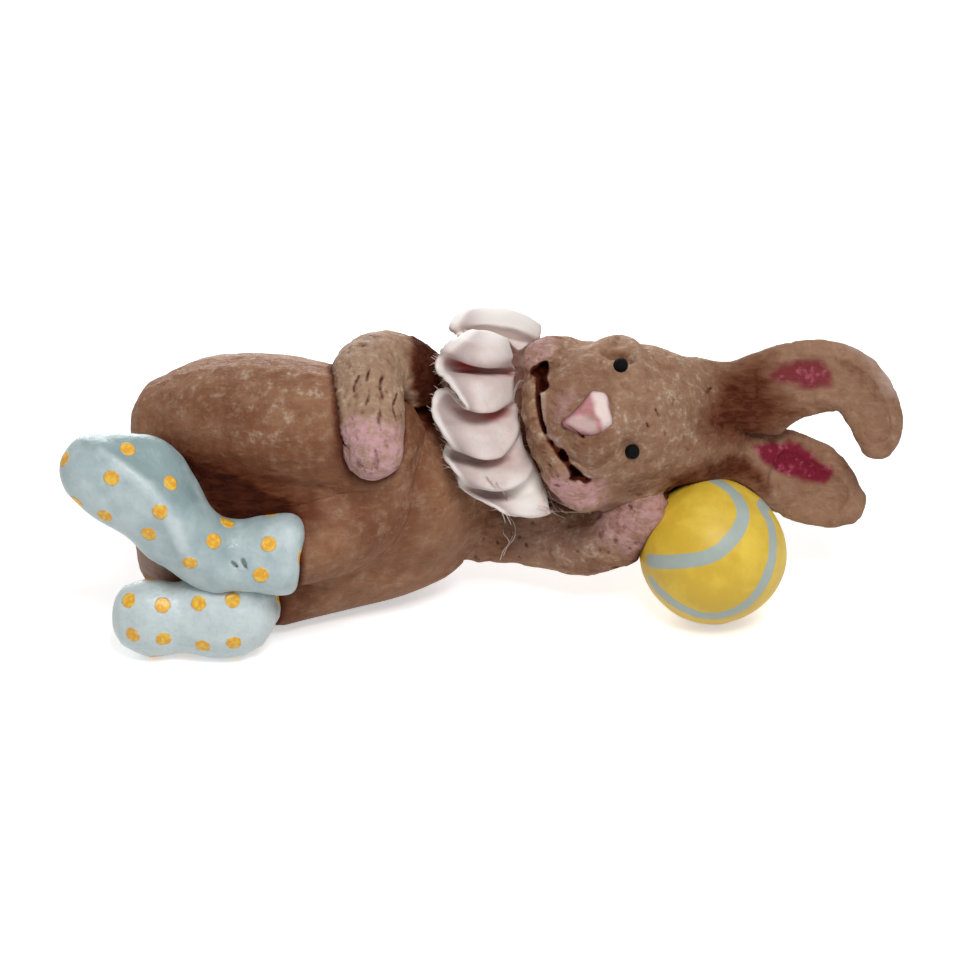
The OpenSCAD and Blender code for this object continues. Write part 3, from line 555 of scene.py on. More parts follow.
def paint(piece, layer, values):
    attribute = piece.data.attributes.new(layer, "FLOAT", "POINT")
    attribute.data.foreach_set("value", np.asarray(values, np.float32))


# Blurred fullness of all the solids: above a half in a hollow, below it on a crest; it sets the painted shade
# in hollows and the dust on crests
WIDE = 1.2
BLUR = 2.2
FULL_LOW = np.array([-46.0, -38.0, -8.0])
FULL_SPAN = np.array([176.0, 76.0, 74.0])


def fullness():
    shape = tuple(np.ceil(FULL_SPAN / WIDE).astype(int))
    start = np.floor(FULL_LOW / WIDE).astype(int)
    coarse = openvdb.createLinearTransform(voxelSize=WIDE)
    full = np.zeros(shape, np.float32)
    for name in SOLIDS:
        full = np.maximum(full, np.clip(0.5 - dense(level_set(name, coarse, 3), start, shape) / WIDE, 0, 1))
    kernel = np.exp(-0.5 * (np.arange(-3 * BLUR, 3 * BLUR + 1) / BLUR) ** 2)
    kernel /= kernel.sum()
    for axis in range(3):
        full = np.apply_along_axis(lambda m: np.convolve(m, kernel, "same"), axis, full)
    return full, start


def sample(values, start, cell, p):
    """Values of a lattice at points in mm."""
    q = p / cell - start
    c = np.clip(np.floor(q).astype(int), 0, np.array(values.shape) - 2)
    total = 0
    for corner, (wx, wy, wz) in cell_corners(q - c):
        total = total + wx * wy * wz * values[tuple(c[:, k] + step for k, step in enumerate(corner))]
    return total


full, full_start = fullness()
# Value of the cut layer away from grooves and pits, and the radius under which a groove is a crack
UNCUT = 9.0
CRACK_R = 0.4


def cut_layer(name, points):
    """Distance to a piece's sharp grooves, for painted shade in them; noise breaks up the cracks, and pits
    count as near.
    """
    cut = np.full(len(points), UNCUT)
    for names, stops, radius, soft in grooves:
        if name in names.split() and radius < WIDE_GROOVE and soft < 1:
            near, far = near_bar(points, stops, radius, radius + 2)
            if radius < CRACK_R and not name.endswith("boot"):
                far += 0.45 + 0.4 * noise(points[near], 1.3, 6.0)
            cut[near] = np.minimum(cut[near], far)
    if name in PITTED:
        pits = smooth(0.76, 0.88, noise(points, PIT_SIZE, 9.1)) * smooth(0.45, 0.62, noise(points, 7.0, 2.2))
        cut = np.minimum(cut, 1.05 - 0.42 * pits * min(1.0, PITTED[name] / 0.4))
    return cut


def pulp_piece(name):
    g, low, nearest = pulp_field(name)
    grid = openvdb.FloatGrid(float(BAND * CELL))
    grid.transform = transform
    grid.copyFromArray(np.ascontiguousarray(g), ijk=tuple(low.tolist()))
    points, quads = grid.convertToQuads(0.0)
    quads = np.asarray(quads).astype(np.int64)
    points = relax(np.asarray(points, float), quads[:, ::-1])
    over_floor(points)
    piece = mesh_object(name + "_skin", points, quads.tolist())
    # Layers for painted shade in hollows, along creased seams and in grooves and pits; the first also puts
    # dust on crests
    paint(piece, "hollow", sample(full, full_start, WIDE, points))
    paint(piece, "touch", sample(nearest, low, CELL, points))
    paint(piece, "cut", cut_layer(name, points))
    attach(piece, "root")
    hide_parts(name)
    return piece, points


skins = {}
corners = {}
for name in PULP:
    skins[name], corners[name] = pulp_piece(name)


# Materials
class Maker:
    """Short calls for the nodes of one material or world."""

    def __init__(self, owner):
        owner.use_nodes = True
        self.owner = owner
        self.tree = owner.node_tree
        self.tree.nodes.clear()
        self.place = self.node("TexCoord", {}, "Object")

    def node(self, kind, inputs, output=0, **settings):
        """A new node with its settings, and its inputs linked or set; gives one of its outputs."""
        n = self.tree.nodes.new("ShaderNode" + kind)
        for key, value in settings.items():
            setattr(n, key, value)
        for key, value in inputs.items():
            socket = n.inputs[key]
            if isinstance(value, bpy.types.NodeSocket):
                self.tree.links.new(value, socket)
            else:
                socket.default_value = (*value, 1) if socket.type == "RGBA" else value
        return n.outputs[output] if n.outputs else None

    def stretched(self, scale):
        return self.node("Mapping", {"Vector": self.place, "Scale": scale})

    def noise(self, size_mm, detail=3.0, rough=0.55, vector=None, twist=0.0):
        return self.node("TexNoise", {
            "Vector": vector or self.place, "Scale": 1 / (size_mm * MM), "Detail": detail, "Roughness": rough,
            "Distortion": twist}, "Fac")

    def cells(self, size_mm):
        inputs = {"Vector": self.place, "Scale": 1 / (size_mm * MM)}
        return self.node("TexVoronoi", inputs, "Distance")

    def ramp(self, value, low, high, out_low=0.0, out_high=1.0):
        return self.node("MapRange", {
            "Value": value, "From Min": low, "From Max": high, "To Min": out_low, "To Max": out_high},
            interpolation_type="SMOOTHSTEP")

    def math(self, operation, a, b):
        return self.node("Math", {0: a, 1: b}, operation=operation)

    def plus(self, a, b):
        return self.math("ADD", a, b)

    def times(self, a, b):
        return self.math("MULTIPLY", a, b)

    def most(self, a, b):
        return self.math("MAXIMUM", a, b)

    def weighed(self, *parts):
        """Sum of heights, each times its weight."""
        total = 0.0
        for height, weight in parts:
            total = self.plus(self.times(height, weight), total)
        return total

    def mix(self, factor, a, b):
        return self.node("Mix", {0: factor, 6: a, 7: b}, 2, data_type="RGBA")

    def layers(self, colour, *coats):
        """A colour under coats of paint, each with its share or its painted layer, and its own colour."""
        for share, coat in coats:
            colour = self.mix(self.attribute(share) if isinstance(share, str) else share, colour, coat)
        return colour

    def attribute(self, layer):
        return self.node("Attribute", {}, "Fac", attribute_name=layer)

    def grained_share(self, layer, grain, amount, low, high):
        """Share of a painted layer between two levels, with its edge broken by a grain."""
        return self.ramp(self.plus(self.attribute(layer), self.times(grain, amount)), low, high)

    def bump(self, height, strength, distance_mm):
        return self.node("Bump", {
            "Strength": strength, "Distance": distance_mm * MM, "Height": height})

    def finish(self, colour, rough, **inputs):
        """Ends a material with its one shader; spaces in the names of inputs are written as _."""
        named = {key.replace("_", " "): value for key, value in inputs.items()}
        shader = self.node("BsdfPrincipled", {"Base Color": colour, "Roughness": rough, **named})
        self.node("OutputMaterial", {0: shader})
        return self.owner


def new_maker(name):
    return Maker(bpy.data.materials.new(name))


def srgb(*screen):
    """Linear colour from one read off a screen, 0 to 255."""
    shares = [c / 255 for c in screen]
    return tuple(c / 12.92 if c <= 0.04045 else ((c + 0.055) / 1.055) ** 2.4 for c in shares)


PULP_BROWN = srgb(150, 107, 80)
PULP_LIGHT = srgb(172, 137, 111)
PULP_DARK = srgb(118, 74, 50)
PULP_GREY = srgb(176, 148, 124)
PULP_CREVICE_SHADE = srgb(70, 22, 9)
PULP_WARM_SHADE = srgb(92, 42, 20)
PULP_SHADE = srgb(44, 13, 6)
PULP_DUST = srgb(200, 178, 156)
PINK = srgb(206, 160, 164)
NOSE_PINK = srgb(200, 132, 144)
MAGENTA = srgb(184, 84, 112)
MAGENTA_DEEP = srgb(120, 22, 48)
PALE_AND_HIGHLIGHT = srgb(242, 222, 216)


def pulp_material(name, rough, dry, calm, grey=0.0, pink=PINK):
    """Painted paper pulp; dry is its pale dust, calm evens its brown, grey lightens it."""
    make = new_maker(name)
    broad = make.noise(16, 3)
    mottle = make.noise(3.5, 4)
    fine = make.noise(0.8, 3)
    soft = make.noise(1.8, 3)
    strokes = make.noise(1.1, 4, 0.6, make.stretched((0.30, 1, 1)), 0.6)
    crest = make.ramp(make.attribute("hollow"), 0.60, 0.40, 0.10, 1.0)
    dust = make.times(make.ramp(soft, 0.42, 0.70), make.ramp(mottle, 0.36, 0.66, 0.2, 1.0))
    dust = make.times(dust, make.ramp(fine, 0.38, 0.62, 0.15, 1.0))
    dust = make.times(make.times(dust, crest), make.times(dry, make.attribute("dusty")))
    patchy = make.ramp(make.weighed((make.noise(2.2, 4), 0.5), (strokes, 0.5)), 0.36, 0.60, 0.15, 0.95)
    ruddy = make.mix(make.ramp(soft, 0.50, 0.74), MAGENTA_DEEP, MAGENTA)
    # Painted shade, near black-red: in hollows, in grooves, cracks and pits, and along creased seams between
    # pieces
    hollow_shade = make.grained_share("hollow", mottle, 0.08, 0.60, 0.80)
    near = make.grained_share("touch", fine, 0.8, 2.1, 0.5)
    cut = make.grained_share("cut", fine, 0.25, 1.0, 0.5)
    # Painted shade patches, first warm brown, then near black
    painted_shade = make.times(make.attribute("painted_shade"), make.ramp(strokes, 0.25, 0.65, 1.0, 0.8))
    crevice_shade = make.most(make.most(hollow_shade, cut), make.times(near, 0.9))
    colour = make.layers(
        make.mix(make.ramp(broad, 0.30, 0.70), PULP_DARK, PULP_BROWN), (grey, PULP_GREY),
        (make.ramp(mottle, 0.45, 0.75, 0.0, 0.7 * (1 - calm)), PULP_LIGHT),
        (make.ramp(mottle, 0.46, 0.28, 0.0, 0.8 * (1 - calm)), PULP_DARK),
        (make.ramp(strokes, 0.50, 0.80, 0.0, 0.5), PULP_LIGHT),
        (make.ramp(strokes, 0.42, 0.20, 0.0, 0.5), PULP_DARK), (dust, PULP_DUST),
        (make.times(make.attribute("pink"), patchy), pink), ("magenta", ruddy), ("pale", PALE_AND_HIGHLIGHT),
        (crevice_shade, PULP_CREVICE_SHADE),
        (make.ramp(painted_shade, 0.0, 0.85), PULP_WARM_SHADE), (make.ramp(painted_shade, 0.55, 1.0), PULP_SHADE))
    gloss = make.plus(make.ramp(mottle, 0.3, 0.7, 0.50, 0.68), make.times(make.most(crevice_shade, painted_shade), 0.3))
    pits = make.ramp(make.cells(2.4), 0.04, 0.26)
    height = make.weighed((fine, 0.5), (strokes, 0.6), (pits, 0.6 * (1 - calm)))
    return make.finish(colour, gloss, Normal=make.bump(height, 0.65, 0.6 * rough), Specular_IOR_Level=0.10)


BOOT_BLUE = srgb(194, 209, 210)
BOOT_DEEP = srgb(170, 188, 191)
BOOT_LIGHT = srgb(206, 218, 218)
BOOT_SHADE = srgb(124, 148, 150)
BOOT_PALER = srgb(230, 238, 238)
BOOT_CREVICE_SHADE = srgb(62, 72, 70)
DOT_YELLOW = srgb(246, 200, 74)
DOT_ORANGE = srgb(232, 166, 40)


def boot_material():
    make = new_maker("boot_paint")
    mottle = make.noise(5, 4)
    fine = make.noise(0.9, 3)
    blob = make.grained_share("dots", make.noise(0.9, 2), 0.5, 0.42, 0.10)
    # Painted shade along the seams where the boots meet the legs and each other; their grooves and scratches
    # are painted blackish too
    near = make.most(make.grained_share("touch", fine, 0.6, 1.3, 0.35),
                     make.grained_share("cut", fine, 0.8, 0.85, 0.30))
    colour = make.layers(
        make.mix(make.ramp(mottle, 0.35, 0.68), BOOT_DEEP, BOOT_BLUE),
        (make.ramp(fine, 0.45, 0.75, 0.0, 0.2), BOOT_LIGHT),
        (make.times(make.attribute("shade"), 0.75), BOOT_SHADE),
        (make.times(make.attribute("paler"), make.ramp(fine, 0.30, 0.55, 0.7, 1.0)), BOOT_PALER),
        (blob, make.mix(make.ramp(fine, 0.40, 0.65), DOT_ORANGE, DOT_YELLOW)),
        (make.times(near, 0.75), BOOT_CREVICE_SHADE))
    height = make.weighed((fine, 0.5), (mottle, 0.7), (blob, 0.8))
    return make.finish(colour, make.ramp(mottle, 0.3, 0.7, 0.30, 0.50), Normal=make.bump(height, 0.6, 0.4))


BALL_YELLOW = srgb(234, 200, 70)
BALL_DEEP = srgb(214, 176, 48)
STRIPE_GREY = srgb(164, 176, 168)
STRIPE_PALE = srgb(176, 188, 184)


def ball_material():
    make = new_maker("ball_paint")
    mottle = make.noise(7, 4)
    fine = make.noise(0.7, 3)
    band = make.grained_share("stripe", make.noise(2.2, 3), 0.4, 0.32, 0.08)
    grey = make.mix(make.ramp(mottle, 0.4, 0.7), STRIPE_GREY, STRIPE_PALE)
    colour = make.mix(band, make.mix(make.ramp(mottle, 0.35, 0.70), BALL_DEEP, BALL_YELLOW), grey)
    height = make.weighed((fine, 0.3), (mottle, 0.9))
    return make.finish(colour, make.ramp(mottle, 0.3, 0.7, 0.44, 0.58), Normal=make.bump(height, 0.4, 0.4))


CLOTH_DEEP = srgb(216, 198, 193)
CLOTH_PALE = srgb(232, 219, 214)
CLOTH_THREAD = srgb(216, 194, 189)
CLOTH_RED_SHADE = srgb(190, 84, 78)
CLOTH_GREY_SHADE = srgb(166, 146, 144)
CLOTH_WHITE = srgb(246, 238, 233)


def cloth_material():
    make = new_maker("ruffle_cloth")
    mottle = make.noise(4, 3)
    threads = make.noise(0.5, 3, 0.6, make.stretched((1, 1, 0.25)))
    colour = make.layers(
        make.mix(make.ramp(mottle, 0.3, 0.7), CLOTH_DEEP, CLOTH_PALE),
        (make.ramp(threads, 0.35, 0.65, 0.0, 0.25), CLOTH_THREAD), ("depth", CLOTH_RED_SHADE),
        ("grey_shade", CLOTH_GREY_SHADE), ("rim", CLOTH_WHITE))
    height = make.weighed((threads, 0.45), (make.noise(2.2, 3), 1.0))
    return make.finish(colour, make.ramp(mottle, 0.3, 0.7, 0.60, 0.80), Normal=make.bump(height, 0.35, 0.3),
                       Sheen_Weight=0.25, Subsurface_Weight=0.25, Subsurface_Radius=(1.0, 0.45, 0.40),
                       Subsurface_Scale=0.0012)


THREAD_DEEP = srgb(206, 178, 164)
THREAD_PALE = srgb(238, 222, 214)


def thread_material():
    make = new_maker("loose_thread")
    return make.finish(make.mix(make.ramp(make.noise(0.4, 2), 0.3, 0.7), THREAD_DEEP, THREAD_PALE), 0.7)


def plain_material(name, colour, rough, metal, speckle, gloss):
    make = new_maker(name)
    mottle = make.noise(1.5, 3)
    light = tuple(min(1.0, c * (1 + speckle)) for c in colour)
    return make.finish(make.mix(make.ramp(mottle, 0.3, 0.7), colour, light),
                       make.ramp(mottle, 0.3, 0.7, rough * 0.85, rough),
                       Metallic=metal, Specular_IOR_Level=gloss)


pulp = pulp_material("pulp_body", 1.0, 0.90, 0.42)
pulp_head = pulp_material("pulp_head", 1.25, 0.95, 0.40, 0.30)
boot_paint = boot_material()
LOOKS = {
    "head": pulp_head, "muzzle": pulp_head, "right_ear": pulp_head, "left_ear": pulp_head,
    "right_arm": pulp_material("pulp_arm", 1.3, 1.00, 0.15, 0.60),
    "left_arm": pulp_material("pulp_hand", 1.3, 0.90, 0.20, 0.10),
    "jaw": pulp_material("pulp_jaw", 1.5, 0.90, 0.0, 0.20),
    "nose": pulp_material("pulp_nose", 0.6, 0.1, 0.6, 0.3, NOSE_PINK),
    "right_boot": boot_paint, "left_boot": boot_paint,
}
for name, piece in skins.items():
    piece.data.materials.append(LOOKS.get(name, pulp))


def corner_normals(piece):
    return np.array([v.normal for v in piece.data.vertices])


WOBBLE_PX = 8.0


def inside(name, outline, soft):
    """Soft share of an outline in pixels at each corner of a piece."""
    pixels = np.stack(to_pixels(corners[name]), 1)
    u, v = pixels.T
    closed = np.array(outline + outline[:1])
    odd = np.zeros(len(u), bool)
    for (u0, v0), (u1, v1) in zip(closed, closed[1:]):
        odd ^= ((v0 > v) != (v1 > v)) & (u < (u1 - u0) * (v - v0) / (v1 - v0 + 1e-9) + u0)
    far = string(pixels, closed, 0)
    wobble = (noise(corners[name], 1.8) - 0.5) * WOBBLE_PX
    return smooth(-soft, soft, np.where(odd, far, -far) + wobble)


# Painted places of each layer: pieces, strength, softness in pixels, outline in pixels of the photograph
BODY = "torso right_thigh right_shin left_leg"
EARS = "head right_ear left_ear"
PATCHES = {
    # Painted shade under the thigh, between arm and chest, at the ear roots, over the right eye, under the
    # head, by the paw and around the mouth; one patch darkens the whole muzzle
    "painted_shade": [
        (BODY, 0.8, 28, "160,428 195,438 238,452 285,470 318,490 326,520 306,550 240,540 190,500 150,440"),
        (BODY, 1.0, 16, "164,440 206,456 240,468 276,484 306,504 294,550 250,550 184,490"),
        ("torso left_leg", 0.45, 18, "290,500 318,508 328,530 322,558 306,575 290,568"),
        ("torso left_leg", 0.45, 16, "250,590 300,575 330,590 300,625 250,640"),
        ("torso right_arm left_arm", 0.95, 8, "412,330 445,330 445,425 424,432 414,400 408,360"),
        ("torso right_thigh", 0.3, 12, "334,410 344,430 342,470 352,492 380,500 376,508 340,504 326,480 "
            "326,440"),
        ("muzzle", 0.36, 12, "546,352 612,352 620,480 546,480"),
        (EARS, 0.84, 26, "716,372 745,358 772,352 770,372 790,398 806,412 792,426 768,438 742,448 706,444 "
            "696,424 706,400"),
        (EARS, 0.22, 24, "706,330 900,330 900,540 660,540 690,440"),
        ("head muzzle", 0.26, 10, "546,356 604,352 612,372 594,384 560,418 546,414"),
        ("head muzzle", 0.2, 10, "560,436 612,440 616,462 590,470 570,456"),
        ("head", 0.62, 6, "605,353 616,350 628,355 631,362 620,359 612,360 608,365"),
        (EARS, 0.8, 12, "664,478 700,462 735,448 768,470 772,500 740,484 700,480 680,492"),
        ("head", 0.4, 14, "596,482 640,468 690,456 740,440 740,470 690,486 640,504"),
        ("right_ear", 0.45, 8, "776,392 800,396 836,400 850,420 836,440 812,412 786,408"),
        ("left_arm", 0.8, 9, "604,480 664,476 674,486 640,494 604,494"),
    ],
    "pink": [
        ("right_arm", 1.0, 9, "340,424 352,418 372,420 398,426 410,446 408,484 380,494 348,494 334,470 "
            "333,440"),
        ("left_arm", 0.62, 9, "604,488 640,482 664,492 672,520 660,548 630,556 600,540 596,510"),
        ("jaw muzzle", 0.55, 6, "516,334 556,334 556,360 540,366 516,368"),
        ("head", 0.55, 8, "526,338 556,338 560,352 548,366 526,366"),
        ("jaw", 0.8, 6, "544,480 560,470 578,474 600,480 598,506 556,512 542,496"),
        ("head", 0.7, 8, "552,474 580,474 606,478 608,508 560,512 544,496"),
        ("muzzle", 0.5, 6, "556,395 570,388 580,396 566,418 556,420"),
        ("nose", 1.0, 3, "550,380 640,380 640,450 550,450"),
    ],
    # Pale paint; the nose's lit right facet and the right ear's top rim are painted highlights
    "pale": [
        ("nose", 0.9, 4, "590,388 603,390 612,408 618,428 616,437 604,437 598,418"),
        ("left_arm torso", 0.08, 14, "505,518 560,520 600,520 614,545 570,566 515,560"),
        ("torso left_leg", 0.2, 10, "112,530 150,545 184,574 130,580 112,560"),
        ("nose", 0.45, 4, "564,420 580,414 596,420 600,434 584,432 568,428"),
        ("right_ear", 0.5, 9, "836,328 872,328 900,352 905,400 888,392 876,362 850,346"),
    ],
    "dusty": [
        ("left_arm torso", 1.0, 14, "515,515 560,518 600,520 614,545 570,566 525,560"),
        (BODY, 1.0, 30, "130,340 330,330 352,400 345,480 300,476 200,446 130,420"),
        ("right_arm head muzzle jaw nose", 1.0, 20, "300,300 720,300 720,620 300,620"),
        ("left_arm", 1.0, 24, "530,480 680,480 680,600 530,600"),
    ],
    "magenta": [
        ("right_ear", 0.85, 5, "767,374 780,368 795,360 819,361 831,374 829,385 808,390 786,385"),
        ("left_ear", 1.0, 4, "754,447 763,442 799,443 814,456 831,471 831,481 810,482 780,475 763,464"),
    ],
    "shade": [
        ("right_boot", 1.0, 8, "84,444 96,420 160,420 185,460 205,500 184,512 150,482 118,462"),
        ("right_boot", 0.75, 12, "184,504 235,508 240,545 225,562 196,548"),
        ("right_boot", 0.45, 10, "238,508 264,510 266,550 240,552"),
        ("left_boot", 0.8, 12, "110,580 270,570 270,590 180,590 115,596"),
    ],
}
LIP_PALE = 0.40
LEAST_DUST = 0.30
BACK_DUST = 0.3


def painted(name, layer, front):
    """Strength of one painted layer at each corner of a piece."""
    points = corners[name]
    values = np.zeros(len(points))
    for names, strength, soft, outline in PATCHES[layer]:
        if name in names.split():
            values = np.maximum(values, strength * inside(name, path(outline), soft) * front)
    if layer == "pale" and name in ("muzzle", "head"):
        _, stops, radius, _ = lip_ridge
        near, far = near_bar(points, stops, radius, radius + 1)
        values[near] = np.maximum(values[near], LIP_PALE * smooth(0.45, -0.25, far))
    if layer == "dusty":
        values = np.maximum(values, LEAST_DUST + BACK_DUST * (1 - front))
    return values


for name, piece in skins.items():
    front = smooth(0.25, -0.05, corner_normals(piece) @ look_way)
    for layer in ("shade",) if name.endswith("boot") else ("pink", "magenta", "pale", "painted_shade", "dusty"):
        paint(piece, layer, painted(name, layer, front))

# Boots: paler along the right one's ridge, and paler all over the left one
_, boot_line, boot_r, _ = boot_ridge
ridge_paler = smooth(0.9, 0.1, string(corners["right_boot"], boot_line[:12], boot_r))
paint(skins["right_boot"], "paler", 0.55 * ridge_paler)
paint(skins["left_boot"], "paler", np.full(len(corners["left_boot"]), 0.45))

# Boot dots, from the photograph in front and scattered alike behind
DOT_R = 1.55
DOT_APART = 6.5
DOT_TRIES = 6000
BOOT_DOTS = {
    "right_boot": "64,459 128,449 112,478 171,483 77,502 105,516 160,512 149,534 227,522 214,541 190,564 "
        "269,544 261,575",
    "left_boot": "129,600 163,605 199,603 233,600 133,635 164,639 203,646 234,643",
}


def dot_field(name, pixels):
    points = corners[name]
    centres = seen(ray_tree(skins[name]), pixels)
    order = np.random.default_rng(11).permutation(len(points))
    normals = corner_normals(skins[name])
    for k in order[:DOT_TRIES]:
        hidden = normals[k] @ look_way > -0.05
        if hidden and min(np.linalg.norm(points[k] - c) for c in centres) > DOT_APART:
            centres.append(points[k])
    return np.min([np.linalg.norm(points - c, axis=1) for c in centres], axis=0) - DOT_R


for name, pixels in BOOT_DOTS.items():
    paint(skins[name], "dots", dot_field(name, path(pixels)))

# Ball: a lumpy sphere, fuller on one side, with a painted band
ball_low, ball_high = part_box("ball")
ball_at = np.array((ball_low + ball_high) / 2) / MM
ball_r = (ball_high[2] - ball_low[2]) / 2 / MM
BALL_RINGS = 96
BALL_SUNK = 0.1
EGG_WAY = np.array([0.80, -0.50, -0.33])
EGG_RISE = 0.7


def make_ball():
    n = 2 * BALL_RINGS
    up, turn = np.meshgrid(math.pi * np.arange(BALL_RINGS + 1) / BALL_RINGS,
                           math.pi * np.arange(n) / BALL_RINGS, indexing="ij")
    way = np.stack([np.sin(up) * np.cos(turn), np.sin(up) * np.sin(turn), np.cos(up)], -1).reshape(-1, 3)
    dents = (noise(way * ball_r, 10, 5.2) - 0.5) * 0.5 + (noise(way * ball_r, 3, 1.4) - 0.5) * 0.16
    egg = np.maximum(way @ EGG_WAY, 0) ** 2 * EGG_RISE
    points = ball_at + way * (ball_r - BALL_SUNK + dents + egg)[:, None]
    over_floor(points)
    piece = mesh_object("ball_shell", points, ring_faces(BALL_RINGS + 1, n).tolist())
    bm = bmesh.new()
    bm.from_mesh(piece.data)
    bmesh.ops.remove_doubles(bm, verts=bm.verts, dist=1e-6)
    bmesh.ops.recalc_face_normals(bm, faces=bm.faces)
    bm.to_mesh(piece.data)
    bm.free()
    return piece


ball = make_ball()
# One painted band: seen part, then over the back, then seen part again
BAND_SEEN = [
    "650,561 668,562 692,560 712,555 727,544 739,528 743,512 736,496 722,484 709,478",
    "762,506 770,522 773,542 771,563 763,584 748,603 727,614 704,616 684,609 666,597 652,582",
]
BAND_BACK = path("-0.05,0.55,0.83 0.35,0.80,0.48 0.75,0.60,0.28")
STRIPE_W = 3.0


def stripe_field():
    tree = ray_tree(ball)
    first, last = (seen(tree, path(pixels)) for pixels in BAND_SEEN)
    back = [ball_at + np.array(d) / np.linalg.norm(d) * ball_r for d in BAND_BACK]
    way = curve(first + back + last, 6) - ball_at
    route = ball_at + way / np.linalg.norm(way, axis=1)[:, None] * ball_r
    return string(np.array([v.co for v in ball.data.vertices]) / MM, route, 0) - STRIPE_W / 2


paint(ball, "stripe", stripe_field())
ball.data.materials.append(ball_material())
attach(ball, "root")
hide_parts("ball")


# Nodes of the frame that show as they are: eyes, wires and the gathering thread
def look_of_nodes(names, look):
    for name in names.split():
        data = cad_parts[name].data
        data.materials.clear()
        data.materials.append(look)


BEAD_BLACK = (0.003, 0.0026, 0.0026)
WIRE_GREY = (0.45, 0.44, 0.42)
thread_look = thread_material()
look_of_nodes("right_eye left_eye", plain_material("eye_bead", BEAD_BLACK, 0.8, 0.0, 0.5, 0.08))
look_of_nodes("neck_wire limb_wires ankle_wires ear_wires ball_wire tail_wire",
              plain_material("bare_wire", WIRE_GREY, 0.45, 1.0, 0.2, 0.5))
look_of_nodes("gather_thread", thread_look)

# Ruffle: a strip of thin cloth through the bends of the part's own strip, as x,y,z in mm
BENDS = {
    "chest": """
        32,11,57.9 29,5.3,58 30.2,4.6,56.5 31.7,1.8,56.7 33.2,-0.5,59.6 30.6,-5.7,60.5 28,-7,59.4
        26.8,-6.1,56.6 26.5,-7.4,54.4 28.5,-11.2,53.5 32.3,-15.1,50.3 31.4,-12.5,49 28.1,-7.9,50.4
        25.4,-9.1,47.8 26.5,-14.2,45.3 28.9,-15.9,42.4 28.9,-13.9,40.7 28.3,-12.1,39.6 27.8,-13.2,38.1
        29,-16.8,37.7 30.9,-18.5,36.2 30.9,-16.8,34.6 30.8,-15,33.5 31.5,-15.8,31.6 35.5,-18.8,30.3
        40.6,-20.7,28.6 43.1,-14.5,25.1 43,-3.9,19.6 42.4,2.6,21.7 42.8,8.8,20.4 41,12.3,25.4 42.2,19.7,28.7
        38.8,17.1,35.8 38.1,22.3,43.4 35.1,14.5,47.5""",
    "middle": """
        41,10.1,58.9 39.5,3.2,59.3 39.3,6.4,55.3 39.3,3,55.2 38.9,-2.6,59.7 37.8,-9.4,59 35.3,-9.8,56.4
        33.9,-3.7,54 33.8,-3.6,51.7 35.3,-11.2,53.7 36.7,-15.6,49.3 36.1,-12,47.6 33.6,-8,46.5 32,-8.5,45.1
        34.5,-14.5,44.5 37.6,-19.4,40.7 37.5,-16.6,39.5 35.8,-13.2,38.2 34.9,-13.7,36.5 35.7,-17.8,36.8
        39.3,-21.8,34.8 39.2,-19.4,32.9 39.1,-16.5,31.5 40.1,-16.7,29.9 42.5,-19,29.7 45.5,-20.5,27.8
        46.8,-13.6,24.6 46.5,-3.7,19.1 46.4,2.2,22.4 47,8.9,20.2 46.6,10.6,27 48.2,19.7,29.7 45.3,13.7,36.5
        45.7,20.6,45.5 42.6,10.6,46.3""",
    "head": """
        47.7,9.4,55.6 47.3,5,55.4 45,5.1,53.7 43,2.5,53.7 41.1,-0.1,56.7 41.8,-4.4,55.8 41.5,-4.6,54.2
        42.2,-1.4,51.5 42.3,-1.5,50.3 41.9,-6.4,51 41.8,-8.8,48.5 42,-6.7,46.9 42.5,-6.1,45.9 43,-6.8,44.9
        42.9,-8.6,44.5 43.2,-10.8,43.5 43.3,-10,41.7 43.7,-10.6,40.6 44.3,-11.6,38.6 45.6,-12.3,37
        46.3,-14.2,36.1 46.7,-13.3,34.4 47.4,-12.7,32.9 48,-13.4,31.2 48.7,-14.7,29.8 49.2,-16.9,26.9
        50.1,-12.5,24.9 50.1,-3.5,20.8 50.4,1.8,22.8 51.7,7.9,21.8 51.5,9.6,27.5 52.4,15.9,31.2 50.1,12.5,36.9
        50,15.5,44.1 47.7,8.2,45.9""",
}
BEND_STEPS = 16
RUFFLE_ROWS = 27
CLOTH_T = 0.5
HEM_T = 1.0
HEM_SHARE = 0.085
FRAY = 0.35
CRUMPLE = 0.30


def closed_curve(stops):
    """A smooth closed line through stops."""
    return curve(stops[-1:] + stops + stops[:2], BEND_STEPS)[BEND_STEPS:-BEND_STEPS - 1]


def ruffle_net():
    """Middle surface of the strip: rows from the chest edge to the head edge, places round the neck."""
    a, b, c = (closed_curve(path(bends))[None] for bends in BENDS.values())
    t = np.linspace(0, 1, RUFFLE_ROWS)[:, None, None]
    return a * (1 - t) * (1 - 2 * t) + b * 4 * t * (1 - t) + c * t * (2 * t - 1)


def unit_rows(v):
    return v / np.maximum(np.linalg.norm(v, axis=-1, keepdims=True), 1e-9)


